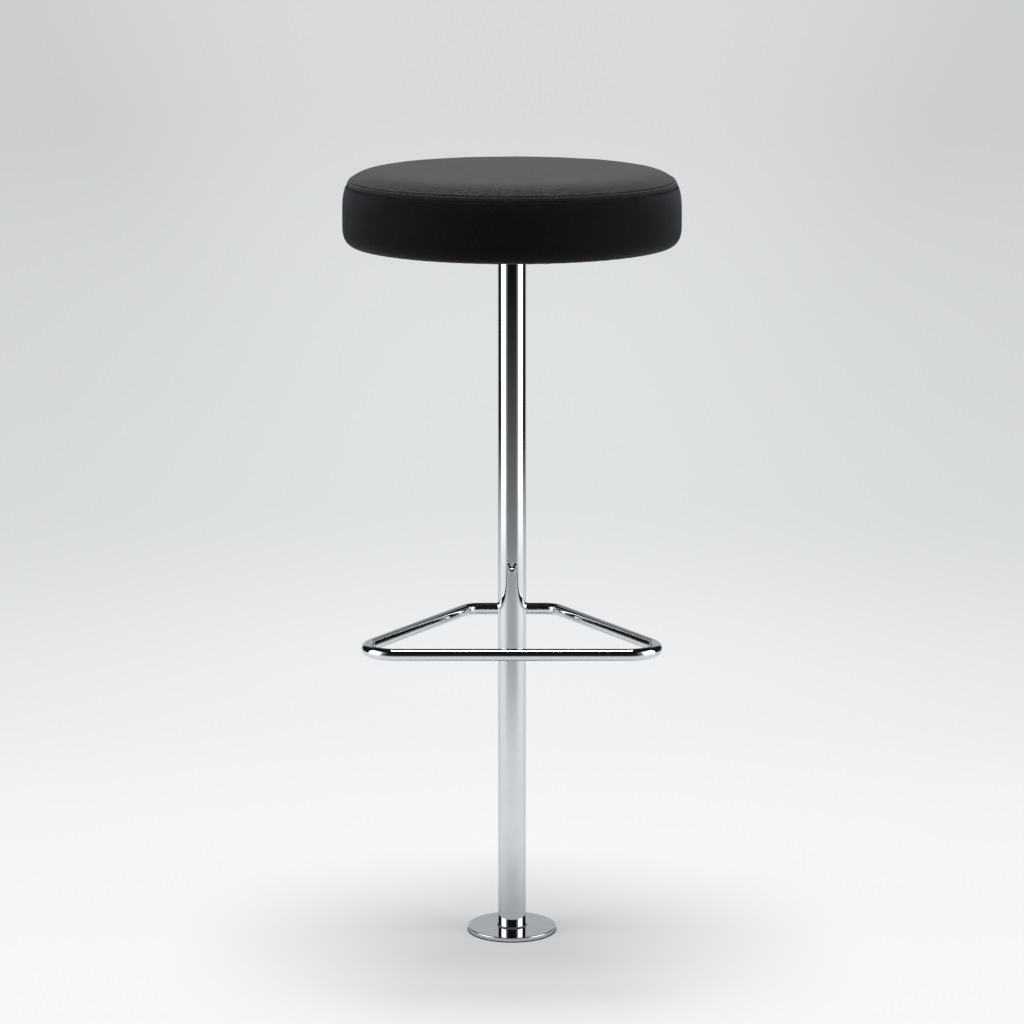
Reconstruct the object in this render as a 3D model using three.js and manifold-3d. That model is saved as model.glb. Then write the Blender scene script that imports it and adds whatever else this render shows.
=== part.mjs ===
// Diner counter stool: a round upholstered seat that swivels on a slim chromed column,
// with a bent rod footrest and a small round foot that is screwed to the floor.
// Lengths are in millimetres and angles in radians. The floor is the plane z = 0, the column stands
// on the z axis, and the footrest reaches towards -y, which is the sitter's front.
import * as THREE from "three";
import { mergeVertices } from "three/addons/utils/BufferGeometryUtils.js";
import Module from "manifold-3d";

const wasm = await Module();
wasm.setup();

// Clearances
const fitGap = 0.3; // between two pieces that are fitted together
const runningGap = 0.3; // between two faces that turn against each other
const overrun = 4; // how far a cutting solid runs past the piece that it cuts

// Column
const columnDiameter = 30;
const columnWall = 2;
const columnTopHeight = 733;

// Foot: floor plate, cover, gasket, spigot and set screws
const coverDiameter = 95.2;
const coverWall = 1.2;
const coverEdgeRadius = 1;
const floorPlateThickness = 3.5;
const floorScrewHoleDiameter = 6.5;
const floorScrewHeadDiameter = 12;
const floorScrewEdgeDistance = 13;
const gasketWidth = 0.8;
const gasketHeight = 1.4;
const spigotLength = 180;
const spigotChamfer = 2;
const setScrewDiameter = 6;
const setScrewLength = 10;
const setScrewSink = 0.4;
const setScrewSocketWidth = 3;
const setScrewSocketDepth = 3;
const lowerSetScrewHeight = 28;
const setScrewSpacing = 30;

// Footrest
const footrestHeight = 357.7;
const footrestRodDiameter = 12.5;
const footrestReach = 213.5;
const footrestStubReach = 46;
const footrestArmAngle = Math.PI / 3;
const footrestStubBendRadius = 20;
const footrestCornerRadius = 30;
const weldLeg = 1.8;

// Swivel bearing
const housingFlangeThickness = 2.4;
const housingWall = 2.4;
const housingDepth = 62;
const bushWall = 1.7;
const bushLength = 14;
const bushFlangeThickness = 1.6;
const bushFlangeWidth = 2;
const thrustWasherThickness = 2;
const thrustWasherMargin = 1;
const retainingWasherThickness = 1.5;
const retainingRingThickness = 1.2;
const retainingRingWidth = 2.2;
const retainingGrooveDepth = 1;
const retainingRingOpening = Math.PI / 3;
const spindleTail = 4;
const spindleTailChamfer = 1;
const hubMargin = 2;
const hubHeight = 8;

// Seat plate and its bolts
const seatPlateDiameter = 150;
const seatPlateThickness = 3;
const boltEdgeDistance = 17;
const boltDiameter = 6;
const boltHeadDiameter = 11;
const boltHeadHeight = 3.3;
const boltSocketWidth = 4;
const boltSocketDepth = 2;
const boltTipSetback = 3;
const teeNutFlangeDiameter = 18;
const teeNutFlangeThickness = 1.2;
const teeNutWall = 1.2;
const teeNutSetback = 4;

// Seat board, foam and cover
const boardThickness = 15;
const boardInset = 2.5;
const seatDiameter = 355.6;
const seatCornerWidth = 15.3;
const seatCornerHeight = 20;
const seamHeight = 68.4;
const seamDrawIn = 6.8;
const seamDrop = 5.9;
const crownHeight = 11.4;
const coverThickness = 1.2;
const coverTurnUnder = 22;
const weltDepth = 4;
const weltProud = 0.8;
const weltEndGap = 0.45;
const dustCoverThickness = 0.8;
const dustCoverLap = 14;
const dustCoverPlateGap = 2;

// Counts and curve exponents
const boltCount = 4;
const floorScrewCount = 4;
const setScrewCount = 2;
const postSegments = 36;
const footSegments = 48;
const seatSegments = 48;
const smallSegments = 16;
const rodSides = 16;
const bendSteps = 7;
const weltSides = 8;
const sideFullness = 4.7;
const crownFlatness = 14;

// Sizes that follow from the ones above
const columnRadius = columnDiameter / 2;
const columnBoreRadius = columnRadius - columnWall;
const rodRadius = footrestRodDiameter / 2;

const coverRadius = coverDiameter / 2;
const coverHoleRadius = columnRadius + fitGap;
const coverSkinBottom = floorPlateThickness + fitGap;
const coverTop = coverSkinBottom + coverWall;
const floorPlateRadius = coverRadius - coverWall - fitGap;
const floorScrewCircleRadius = floorPlateRadius - floorScrewEdgeDistance;
const spigotRadius = columnBoreRadius - fitGap;
const spigotTop = floorPlateThickness + spigotLength;
const setScrewHoleRadius = setScrewDiameter / 2 + fitGap;
const setScrewOuter = columnRadius - setScrewSink;
const setScrewInner = setScrewOuter - setScrewLength;

const housingRadius = columnBoreRadius - fitGap;
const housingBoreRadius = housingRadius - housingWall;
const housingBottom = columnTopHeight - housingDepth;
const housingTop = columnTopHeight + housingFlangeThickness;
const bushRadius = housingBoreRadius - fitGap;
const bushBoreRadius = bushRadius - bushWall;
const bushFlangeRadius = bushRadius + bushFlangeWidth;
const upperBushTop = housingTop + bushFlangeThickness;
const lowerBushBottom = housingBottom - bushFlangeThickness;
const thrustWasherTop = upperBushTop + thrustWasherThickness;
const thrustWasherRadius = columnRadius - thrustWasherMargin;
const spindleRadius = bushBoreRadius - fitGap;
const grooveRadius = spindleRadius - retainingGrooveDepth;
const retainingWasherBottom = lowerBushBottom - retainingWasherThickness;
const retainingRingTop = retainingWasherBottom - runningGap;
const retainingRingBottom = retainingRingTop - retainingRingThickness;
const retainingRingInner = grooveRadius + fitGap;
const grooveTop = retainingRingTop + fitGap;
const grooveBottom = retainingRingBottom - fitGap;
const spindleBottom = grooveBottom - spindleTail;
const hubBottom = thrustWasherTop + runningGap;
const hubRadius = columnRadius + hubMargin;

const seatPlateRadius = seatPlateDiameter / 2;
const seatPlateBottom = hubBottom + hubHeight;
const boardBottom = seatPlateBottom + seatPlateThickness;
const boardTop = boardBottom + boardThickness;
const boltCircleRadius = seatPlateRadius - boltEdgeDistance;
const boltRadius = boltDiameter / 2;
const boltHoleRadius = boltRadius + fitGap;
const teeNutFlangeRadius = teeNutFlangeDiameter / 2;
const teeNutRadius = boltHoleRadius + teeNutWall;
const teeNutTop = boardTop - fitGap;
const teeNutSeat = teeNutTop - teeNutFlangeThickness;
const teeNutBottom = boardBottom + teeNutSetback;
const boltTip = boardTop - boltTipSetback;

const seatRadius = seatDiameter / 2;
const seatUnderside = boardBottom - fitGap - coverThickness;
const flatUndersideRadius = seatRadius - seatCornerWidth;
const boardRadius = flatUndersideRadius - boardInset;
const widestHeight = seatUnderside + seatCornerHeight;
const stitchHeight = seatUnderside + seamHeight;
const stitchRadius = seatRadius - seamDrawIn;
const creaseHeight = stitchHeight - seamDrop;
const turnUnderRadius = flatUndersideRadius - coverTurnUnder;
const dustCoverTop = seatUnderside - fitGap;
const dustCoverBottom = dustCoverTop - dustCoverThickness;
const foamInset = coverThickness + fitGap;

// Finishes
const chromeLook = { color: 0xe4e6e8, metalness: 1, roughness: 0.05 };
const steelLook = { color: 0x8f9295, metalness: 1, roughness: 0.4 };
const zincLook = { color: 0xb4b8ba, metalness: 1, roughness: 0.3 };
const blackSteelLook = { color: 0x1c1d1f, metalness: 0.6, roughness: 0.5 };
const rubberLook = { color: 0x3a3b3d, metalness: 0, roughness: 0.7 };
const nylonLook = { color: 0xe6e2d6, metalness: 0, roughness: 0.45 };
const woodLook = { color: 0xb89262, metalness: 0, roughness: 0.7 };
const foamLook = { color: 0xd9cfa8, metalness: 0, roughness: 0.95 };
const fabricLook = { color: 0x222325, metalness: 0, roughness: 0.95 };
const liningLook = { color: 0x101112, metalness: 0, roughness: 1 };

// A geometry as a solid that can be cut and joined
function solidOf(geometry) {
  const bare = geometry.index ? geometry.toNonIndexed() : geometry.clone();
  bare.deleteAttribute("normal");
  bare.deleteAttribute("uv");
  const merged = mergeVertices(bare);
  return new wasm.Manifold(
    new wasm.Mesh({
      numProp: 3,
      vertProperties: merged.attributes.position.array,
      triVerts: new Uint32Array(merged.index.array),
    }),
  );
}

function geometryOf(solid) {
  const found = solid.getMesh();
  const geometry = new THREE.BufferGeometry();
  geometry.setAttribute("position", new THREE.BufferAttribute(found.vertProperties, 3));
  geometry.setIndex(new THREE.BufferAttribute(found.triVerts, 1));
  const flat = geometry.toNonIndexed();
  flat.computeVertexNormals();
  return flat;
}

// The geometry less all the cutting geometries
function cut(geometry, ...cutters) {
  const left = cutters.reduce((solid, cutter) => solid.subtract(solidOf(cutter)), solidOf(geometry));
  return geometryOf(left);
}

// A profile of [radius, height] points, turned about the z axis
function turned(profile, segments = postSegments) {
  const points = profile.map(([radius, height]) => new THREE.Vector2(radius, height));
  return new THREE.LatheGeometry(points, segments).rotateX(Math.PI / 2);
}

function disc(radius, bottom, top, segments) {
  return turned([[0, bottom], [radius, bottom], [radius, top], [0, top]], segments);
}

function ring(inner, outer, bottom, top, segments) {
  const corners = [[inner, bottom], [outer, bottom], [outer, top], [inner, top], [inner, bottom]];
  return turned(corners, segments);
}

// A six-sided prism for a hexagon socket, with its width across flats
function hexagon(width, bottom, top) {
  const corners = 6;
  return disc(width / 2 / Math.cos(Math.PI / corners), bottom, top, corners);
}

// The places of equal pieces round a circle
function roundPlaces(count, radius) {
  return Array.from({ length: count }, (_, i) => {
    const angle = ((i + 1 / 2) * 2 * Math.PI) / count;
    return [radius * Math.cos(angle), radius * Math.sin(angle)];
  });
}

// Foot

function floorPlate() {
  const plate = disc(floorPlateRadius, 0, floorPlateThickness, footSegments);
  const holeRadius = floorScrewHoleDiameter / 2;
  const headRadius = floorScrewHeadDiameter / 2;
  const sinkBottom = floorPlateThickness - (headRadius - holeRadius);
  const hole = [
    [0, -overrun],
    [holeRadius, -overrun],
    [holeRadius, sinkBottom],
    [headRadius, floorPlateThickness],
    [headRadius, floorPlateThickness + overrun],
    [0, floorPlateThickness + overrun],
  ];
  const places = roundPlaces(floorScrewCount, floorScrewCircleRadius);
  return cut(plate, ...places.map(([x, y]) => turned(hole, smallSegments).translate(x, y, 0)));
}

function footCover() {
  const edge = coverEdgeRadius * (1 - Math.SQRT1_2);
  const profile = [
    [coverHoleRadius, coverSkinBottom],
    [coverRadius - coverWall, coverSkinBottom],
    [coverRadius - coverWall, 0],
    [coverRadius, 0],
    [coverRadius, coverTop - coverEdgeRadius],
    [coverRadius - edge, coverTop - edge],
    [coverRadius - coverEdgeRadius, coverTop],
    [coverHoleRadius, coverTop],
    [coverHoleRadius, coverSkinBottom],
  ];
  return turned(profile, footSegments);
}

function footGasket() {
  const inner = columnRadius + fitGap;
  return ring(inner, inner + gasketWidth, coverTop, coverTop + gasketHeight);
}

// The height of a set screw's axis above the floor
function setScrewHeight(index) {
  return lowerSetScrewHeight + index * setScrewSpacing;
}

// A cylinder along +y from one distance to another, at a height, to cut the set screws' holes
function rearCylinder(radius, near, far, height) {
  return disc(radius, near, far, smallSegments).rotateX(-Math.PI / 2).translate(0, 0, height);
}

function setScrewHoles() {
  return Array.from({ length: setScrewCount }, (_, i) =>
    rearCylinder(setScrewHoleRadius, setScrewInner - fitGap, columnRadius + overrun, setScrewHeight(i)),
  );
}

function spigot() {
  const profile = [
    [0, floorPlateThickness],
    [spigotRadius, floorPlateThickness],
    [spigotRadius, spigotTop - spigotChamfer],
    [spigotRadius - spigotChamfer, spigotTop],
    [0, spigotTop],
  ];
  return cut(turned(profile), ...setScrewHoles());
}

// One set screw, standing on its tip on the origin with its socket upwards
function setScrew() {
  const radius = setScrewDiameter / 2;
  const tipRadius = radius / 2;
  const profile = [
    [0, 0],
    [tipRadius, 0],
    [radius, radius - tipRadius],
    [radius, setScrewLength],
    [0, setScrewLength],
  ];
  const socketBottom = setScrewLength - setScrewSocketDepth;
  const socket = hexagon(setScrewSocketWidth, socketBottom, setScrewLength + overrun);
  return cut(turned(profile, smallSegments), socket);
}

// Column and footrest

function columnTube() {
  const tube = ring(columnBoreRadius, columnRadius, floorPlateThickness, columnTopHeight);
  return cut(tube, ...setScrewHoles());
}

// A planar path that is given by stations, each a point and the direction there
class StationPath extends THREE.Curve {
  constructor(stations) {
    super();
    this.stations = stations;
  }

  at(share) {
    return this.stations[Math.round(share * (this.stations.length - 1))];
  }

  getPointAt(share, target = new THREE.Vector3()) {
    return target.copy(this.at(share).point);
  }

  getTangentAt(share, target = new THREE.Vector3()) {
    return target.copy(this.at(share).direction);
  }
}

// The stations of a bend round a vertical axis, from one heading to another, clockwise seen from above
function bend(corner, radius, fromHeading, turn) {
  const setback = radius * Math.tan(turn / 2);
  const ahead = new THREE.Vector3(Math.cos(fromHeading), Math.sin(fromHeading), 0);
  const right = new THREE.Vector3(ahead.y, -ahead.x, 0);
  const start = corner.clone().addScaledVector(ahead, -setback);
  const centre = start.clone().addScaledVector(right, radius);
  return Array.from({ length: bendSteps + 1 }, (_, i) => {
    const heading = fromHeading - (turn * i) / bendSteps;
    const direction = new THREE.Vector3(Math.cos(heading), Math.sin(heading), 0);
    const outward = new THREE.Vector3(-direction.y, direction.x, 0);
    return { point: centre.clone().addScaledVector(outward, radius), direction };
  });
}

// The rod's centreline, from the column's right side round the front to its left side
function footrestPath() {
  const spread = footrestReach / Math.tan(footrestArmAngle);
  const right = new THREE.Vector3(1, 0, 0);
  const corner = (side, x, y) => new THREE.Vector3(side * x, y, footrestHeight);
  const end = (side) => ({ point: corner(side, columnRadius - columnWall, 0), direction: right.clone() });
  const cornerTurn = Math.PI - footrestArmAngle;
  const stations = [
    end(1),
    ...bend(corner(1, footrestStubReach, 0), footrestStubBendRadius, 0, footrestArmAngle),
    ...bend(
      corner(1, footrestStubReach + spread, -footrestReach),
      footrestCornerRadius,
      -footrestArmAngle,
      cornerTurn,
    ),
    ...bend(corner(-1, footrestStubReach + spread, -footrestReach), footrestCornerRadius, -Math.PI, cornerTurn),
    ...bend(corner(-1, footrestStubReach, 0), footrestStubBendRadius, footrestArmAngle, footrestArmAngle),
    end(-1),
  ];
  return new StationPath(stations);
}

// A weld bead round the rod where it meets the column, on one side of it
function weldBead(side) {
  const beadEnd = columnRadius + weldLeg;
  const profile = [
    [0, columnBoreRadius],
    [rodRadius + weldLeg, columnBoreRadius],
    [rodRadius + weldLeg, columnRadius],
    [rodRadius + weldLeg / 3, columnRadius + weldLeg / 3],
    [rodRadius, beadEnd],
    [0, beadEnd],
  ];
  return turned(profile, rodSides).rotateY((side * Math.PI) / 2).translate(0, 0, footrestHeight);
}

function footrest() {
  const section = new THREE.Shape().absarc(0, 0, rodRadius, 0, 2 * Math.PI);
  const path = footrestPath();
  const rod = new THREE.ExtrudeGeometry(section, {
    curveSegments: rodSides / 2,
    steps: path.stations.length - 1,
    extrudePath: path,
  });
  const low = footrestHeight - rodRadius - weldLeg - overrun;
  const high = footrestHeight + rodRadius + weldLeg + overrun;
  const columnSpace = disc(columnRadius + fitGap, low, high, postSegments);
  const welded = [weldBead(1), weldBead(-1)].reduce((solid, bead) => solid.add(solidOf(bead)), solidOf(rod));
  return geometryOf(welded.subtract(solidOf(columnSpace)));
}

// Swivel bearing

function bearingHousing() {
  const profile = [
    [housingBoreRadius, housingBottom],
    [housingRadius, housingBottom],
    [housingRadius, columnTopHeight],
    [columnRadius, columnTopHeight],
    [columnRadius, housingTop],
    [housingBoreRadius, housingTop],
    [housingBoreRadius, housingBottom],
  ];
  return turned(profile);
}

// A flanged bush whose flange lies against a face of the housing, and whose sleeve runs into it
function flangedBush(face, flangeFace, sleeveEnd) {
  const profile = [
    [bushBoreRadius, sleeveEnd],
    [bushRadius, sleeveEnd],
    [bushRadius, face],
    [bushFlangeRadius, face],
    [bushFlangeRadius, flangeFace],
    [bushBoreRadius, flangeFace],
    [bushBoreRadius, sleeveEnd],
  ];
  return turned(flangeFace > face ? profile : profile.reverse());
}

function upperBush() {
  return flangedBush(housingTop, upperBushTop, housingTop - bushLength);
}

function lowerBush() {
  return flangedBush(housingBottom, lowerBushBottom, housingBottom + bushLength);
}

function thrustWasher() {
  return ring(bushBoreRadius, thrustWasherRadius, upperBushTop, thrustWasherTop);
}

function retainingWasher() {
  return ring(bushBoreRadius, bushFlangeRadius, retainingWasherBottom, lowerBushBottom);
}

function retainingRing() {
  const half = retainingRingOpening / 2;
  const outer = retainingRingInner + retainingRingWidth;
  const shape = new THREE.Shape();
  shape.absarc(0, 0, outer, half, 2 * Math.PI - half, false);
  shape.absarc(0, 0, retainingRingInner, 2 * Math.PI - half, half, true);
  const settings = { depth: retainingRingThickness, bevelEnabled: false, curveSegments: smallSegments / 2 };
  return new THREE.ExtrudeGeometry(shape, settings).translate(0, 0, retainingRingBottom);
}

function pivotSpindle() {
  const profile = [
    [0, spindleBottom],
    [spindleRadius - spindleTailChamfer, spindleBottom],
    [spindleRadius, spindleBottom + spindleTailChamfer],
    [spindleRadius, grooveBottom],
    [grooveRadius, grooveBottom],
    [grooveRadius, grooveTop],
    [spindleRadius, grooveTop],
    [spindleRadius, hubBottom],
    [hubRadius, hubBottom],
    [hubRadius, seatPlateBottom],
    [0, seatPlateBottom],
  ];
  return turned(profile);
}

// Seat plate, board and their fasteners

function boltCutters(radius, bottom, top) {
  const places = roundPlaces(boltCount, boltCircleRadius);
  return places.map(([x, y]) => disc(radius, bottom, top, smallSegments).translate(x, y, 0));
}

function seatPlate() {
  const plate = disc(seatPlateRadius, seatPlateBottom, boardBottom, seatSegments);
  return cut(plate, ...boltCutters(boltHoleRadius, seatPlateBottom - overrun, boardBottom + overrun));
}

function seatBolt() {
  const headRadius = boltHeadDiameter / 2;
  const headBottom = seatPlateBottom - boltHeadHeight;
  const domeShare = 0.7;
  const profile = [
    [0, headBottom],
    [headRadius * domeShare, headBottom],
    [headRadius, seatPlateBottom - boltHeadHeight / 3],
    [headRadius, seatPlateBottom],
    [boltRadius, seatPlateBottom],
    [boltRadius, boltTip],
    [0, boltTip],
  ];
  const socket = hexagon(boltSocketWidth, headBottom - overrun, headBottom + boltSocketDepth);
  return cut(turned(profile, smallSegments), socket);
}

function teeNut() {
  const profile = [
    [boltHoleRadius, teeNutBottom],
    [teeNutRadius, teeNutBottom],
    [teeNutRadius, teeNutSeat],
    [teeNutFlangeRadius, teeNutSeat],
    [teeNutFlangeRadius, teeNutTop],
    [boltHoleRadius, teeNutTop],
    [boltHoleRadius, teeNutBottom],
  ];
  return turned(profile, smallSegments);
}

function seatBoard() {
  const board = disc(boardRadius, boardBottom, boardTop, seatSegments);
  const holes = boltCutters(teeNutRadius + fitGap, boardBottom - overrun, boardTop + overrun);
  const sinks = boltCutters(teeNutFlangeRadius + fitGap, teeNutSeat, boardTop + overrun);
  return cut(board, ...holes, ...sinks);
}

// Cushion outline. An inset moves it inwards, to the cover's inner face or the foam.

// From the stitched edge at share 1 to the seat's centre at share 0
function crownPoint(share, inset) {
  const rise = crownHeight * (1 - share ** crownFlatness);
  return [stitchRadius * share, stitchHeight + rise - inset];
}

// From the widest line at share 0 to the stitched edge's height at share 1
function sidePoint(share, inset) {
  const radius = seatRadius - seamDrawIn * share ** sideFullness;
  return [radius - inset, widestHeight + (stitchHeight - widestHeight) * share];
}

// From the flat underside at angle 0 to the widest line at a right angle
function cornerPoint(angle, inset) {
  const radius = flatUndersideRadius + (seatCornerWidth - inset) * Math.sin(angle);
  return [radius, widestHeight - (seatCornerHeight - inset) * Math.cos(angle)];
}

const creaseShare = (creaseHeight - widestHeight) / (stitchHeight - widestHeight);
const crease = sidePoint(creaseShare, 0);
const stitch = crownPoint(1, 0);
const seamLength = Math.hypot(stitch[0] - crease[0], stitch[1] - crease[1]);
const seamAlong = [(stitch[0] - crease[0]) / seamLength, (stitch[1] - crease[1]) / seamLength];

// A point near the seam: its place along the line from crease to stitching, counted from the
// middle, and its depth under that line
function seamPoint(along, depth) {
  const middle = [(stitch[0] + crease[0]) / 2, (stitch[1] + crease[1]) / 2];
  return [
    middle[0] + seamAlong[0] * along - seamAlong[1] * depth,
    middle[1] + seamAlong[1] * along + seamAlong[0] * depth,
  ];
}

const crownShares = [0, 0.5, 0.74, 0.83, 0.885, 0.925, 0.955, 0.98];
const foamCrownShares = [0, 0.6, 0.8, 0.88, 0.93, 0.965];
const sideShares = [0, 0.45, 0.7];
const cornerShares = [0, 0.25, 0.5, 0.75];
const cornerAngle = (share) => (share * Math.PI) / 2;

function topPanel() {
  const outer = crownShares.map((share) => crownPoint(share, 0));
  const inner = crownShares.map((share) => crownPoint(share, coverThickness));
  const edge = [seamPoint(seamLength / 2, coverThickness), seamPoint(seamLength / 2, 0)];
  return turned([...inner, ...edge, ...outer.reverse()], seatSegments);
}

function sideBand() {
  const face = (inset) => [
    [turnUnderRadius, seatUnderside + inset],
    ...cornerShares.map((share) => cornerPoint(cornerAngle(share), inset)),
    ...sideShares.map((share) => sidePoint(share, inset)),
    seamPoint(-seamLength / 2, inset),
  ];
  const outer = face(0);
  return turned([...outer, ...face(coverThickness).reverse(), outer[0]], seatSegments);
}

function seamWelt() {
  const halfLength = seamLength / 2 - weltEndGap;
  const centreDepth = weltDepth / 2 - weltProud;
  const section = Array.from({ length: weltSides + 1 }, (_, i) => {
    const angle = (2 * Math.PI * (i % weltSides)) / weltSides;
    return seamPoint(halfLength * Math.sin(angle), centreDepth - (weltDepth / 2) * Math.cos(angle));
  });
  return turned(section, seatSegments);
}

function foamPad() {
  const grooveShare = 0.8;
  const grooveDepth = weltDepth - weltProud + fitGap;
  const grooveReach = (seamLength / 2 - weltEndGap) * grooveShare;
  const profile = [
    [0, boardTop],
    [boardRadius + fitGap, boardTop],
    [boardRadius + fitGap, boardBottom],
    ...cornerShares.map((share) => cornerPoint(cornerAngle(share), foamInset)),
    ...sideShares.map((share) => sidePoint(share, foamInset)),
    seamPoint(-grooveReach, grooveDepth),
    seamPoint(grooveReach, grooveDepth),
    ...foamCrownShares.map((share) => crownPoint(share, foamInset)).reverse(),
  ];
  return turned(profile, seatSegments);
}

function dustCover() {
  const inner = seatPlateRadius + dustCoverPlateGap;
  const outer = turnUnderRadius + dustCoverLap;
  return ring(inner, outer, dustCoverBottom, dustCoverTop, seatSegments);
}

// Assembly

function piece(name, geometry, look) {
  const mesh = new THREE.Mesh(geometry, new THREE.MeshStandardMaterial(look));
  mesh.name = name;
  return mesh;
}

// The post stays still on the floor
const post = new THREE.Group();
post.add(
  piece("floor_plate", floorPlate(), steelLook),
  piece("foot_cover", footCover(), chromeLook),
  piece("foot_gasket", footGasket(), rubberLook),
  piece("column_spigot", spigot(), steelLook),
  piece("column_tube", columnTube(), chromeLook),
  piece("footrest", footrest(), chromeLook),
  piece("bearing_housing", bearingHousing(), zincLook),
  piece("upper_bush", upperBush(), nylonLook),
  piece("lower_bush", lowerBush(), nylonLook),
  piece("thrust_washer", thrustWasher(), steelLook),
  piece("retaining_washer", retainingWasher(), zincLook),
);

for (let i = 0; i < setScrewCount; i++) {
  const screw = piece(`set_screw_${i + 1}`, setScrew(), blackSteelLook);
  screw.rotation.x = -Math.PI / 2;
  screw.position.set(0, setScrewInner, setScrewHeight(i));
  post.add(screw);
}

// The seat turns about the column's axis
const seat = new THREE.Group();
seat.add(
  piece("pivot_spindle", pivotSpindle(), steelLook),
  piece("retaining_ring", retainingRing(), steelLook),
  piece("seat_plate", seatPlate(), blackSteelLook),
  piece("seat_board", seatBoard(), woodLook),
  piece("foam_pad", foamPad(), foamLook),
  piece("cover_top", topPanel(), fabricLook),
  piece("cover_band", sideBand(), fabricLook),
  piece("seam_welt", seamWelt(), fabricLook),
  piece("dust_cover", dustCover(), liningLook),
);

roundPlaces(boltCount, boltCircleRadius).forEach(([x, y], i) => {
  const bolt = piece(`seat_bolt_${i + 1}`, seatBolt(), zincLook);
  const nut = piece(`tee_nut_${i + 1}`, teeNut(), zincLook);
  bolt.position.set(x, y, 0);
  nut.position.set(x, y, 0);
  seat.add(bolt, nut);
});

const stool = new THREE.Group();
stool.add(post, seat);

export default stool;
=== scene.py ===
# %% [markdown]
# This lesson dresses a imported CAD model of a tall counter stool: a round padded seat in
# charcoal cloth, a slim chromed column, a bent rod footrest and a small round foot.
# The CAD model is loaded first and stays as it is. Every piece made here is placed in
# its frame, in metres, and rides on one of its two bodies: the post, which stands still,
# or the seat, which turns.

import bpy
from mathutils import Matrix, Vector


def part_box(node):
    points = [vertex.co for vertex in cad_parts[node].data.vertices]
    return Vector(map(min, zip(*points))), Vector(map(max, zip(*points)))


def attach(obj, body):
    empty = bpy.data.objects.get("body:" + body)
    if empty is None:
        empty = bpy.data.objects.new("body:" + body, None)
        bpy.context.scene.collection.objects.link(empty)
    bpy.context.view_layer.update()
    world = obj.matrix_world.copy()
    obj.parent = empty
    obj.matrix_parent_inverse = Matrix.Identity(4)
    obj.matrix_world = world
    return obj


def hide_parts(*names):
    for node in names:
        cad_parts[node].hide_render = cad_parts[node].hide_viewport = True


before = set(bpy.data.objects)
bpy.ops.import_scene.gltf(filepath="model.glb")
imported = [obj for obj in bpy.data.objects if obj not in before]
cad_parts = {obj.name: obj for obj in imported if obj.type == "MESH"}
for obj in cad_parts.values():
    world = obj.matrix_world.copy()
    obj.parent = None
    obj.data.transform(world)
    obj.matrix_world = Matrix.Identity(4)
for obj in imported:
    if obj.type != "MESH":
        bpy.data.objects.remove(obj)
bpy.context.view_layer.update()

import math
import random

import bmesh
import bpy
import numpy as np
from mathutils import Vector
from mathutils.bvhtree import BVHTree

MM = 0.001

# %% [markdown]
# The camera comes first, because the way a shape reads depends on it. The photo shows the whole
# stool from the front with a long lens, a little above the seat. The camera could be placed by
# eye, but here its height, distance and tilt were fitted to the ovals of the seat and the foot and
# to the footrest's place, so that the render can be laid over the photo.

# %% Camera
CAMERA_PLACE = (0, -3.7597, 1.2053)
CAMERA_TILT = 11.169
LENS = 126.5625


def put_in_scene(name, data):
    """An object in the scene that shows a camera, a lamp or a mesh."""
    thing = bpy.data.objects.new(name, data)
    bpy.context.scene.collection.objects.link(thing)
    return thing


eye = bpy.data.cameras.new("photo_camera")
eye.sensor_width = 36
eye.lens = LENS
camera = put_in_scene("photo_camera", eye)
camera.location = CAMERA_PLACE
camera.rotation_euler = (math.radians(90 - CAMERA_TILT), 0, 0)
bpy.context.scene.camera = camera
bpy.context.scene.view_settings.view_transform = "Standard"
print("camera is", round(camera.location.length, 2), "m from where the column meets the floor")

# %% [markdown]
# A material is a small tree of nodes, and each node has inputs that hold a value or take another
# node's output. These helpers keep a tree readable. One adds a node and fills its inputs, one does
# a sum, and the others fade or blend from one value, colour or shader to another.

# %% Helpers for nodes
def join(tree, node, inputs):
    """Gives each named input of a node a value, or joins it to another node's output."""
    for name, value in inputs.items():
        if isinstance(value, bpy.types.NodeSocket):
            tree.links.new(value, node.inputs[name])
        else:
            node.inputs[name].default_value = value


def add(tree, kind, inputs=None, **settings):
    """A new node of that kind, with its settings and its inputs filled."""
    node = tree.nodes.new(kind)
    for name, value in settings.items():
        setattr(node, name, value)
    join(tree, node, inputs or {})
    return node


def calc(tree, sum_name, *values):
    """The output of one Math node. More than two values make a chain of them."""
    result = add(tree, "ShaderNodeMath", dict(enumerate(values[:2])), operation=sum_name).outputs[0]
    for value in values[2:]:
        result = calc(tree, sum_name, result, value)
    return result


def ramp(tree, value, low, high, at_low=0.0, at_high=1.0, smooth=True):
    """A value that goes from at_low to at_high while the input goes from low to high."""
    inputs = {"Value": value, "From Min": low, "From Max": high}
    inputs.update({"To Min": at_low, "To Max": at_high})
    kind = "SMOOTHSTEP" if smooth else "LINEAR"
    return add(tree, "ShaderNodeMapRange", inputs, interpolation_type=kind).outputs["Result"]


def blend_value(tree, share, first, second):
    """A value between two others."""
    kept = calc(tree, "MULTIPLY", first, calc(tree, "SUBTRACT", 1.0, share))
    return calc(tree, "ADD", kept, calc(tree, "MULTIPLY", second, share))


def blend_colour(tree, share, first, second):
    """A colour between two others."""
    return add(tree, "ShaderNodeMix", {0: share, 6: first, 7: second}, data_type="RGBA").outputs[2]


def split(tree, vector):
    """The three parts of a vector."""
    return add(tree, "ShaderNodeSeparateXYZ", {0: vector}).outputs


def level_length(tree, x, y):
    """The length of a level line that goes that far across and that far back."""
    squares = calc(tree, "MULTIPLY", x, x), calc(tree, "MULTIPLY", y, y)
    return calc(tree, "SQRT", calc(tree, "ADD", *squares))


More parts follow.
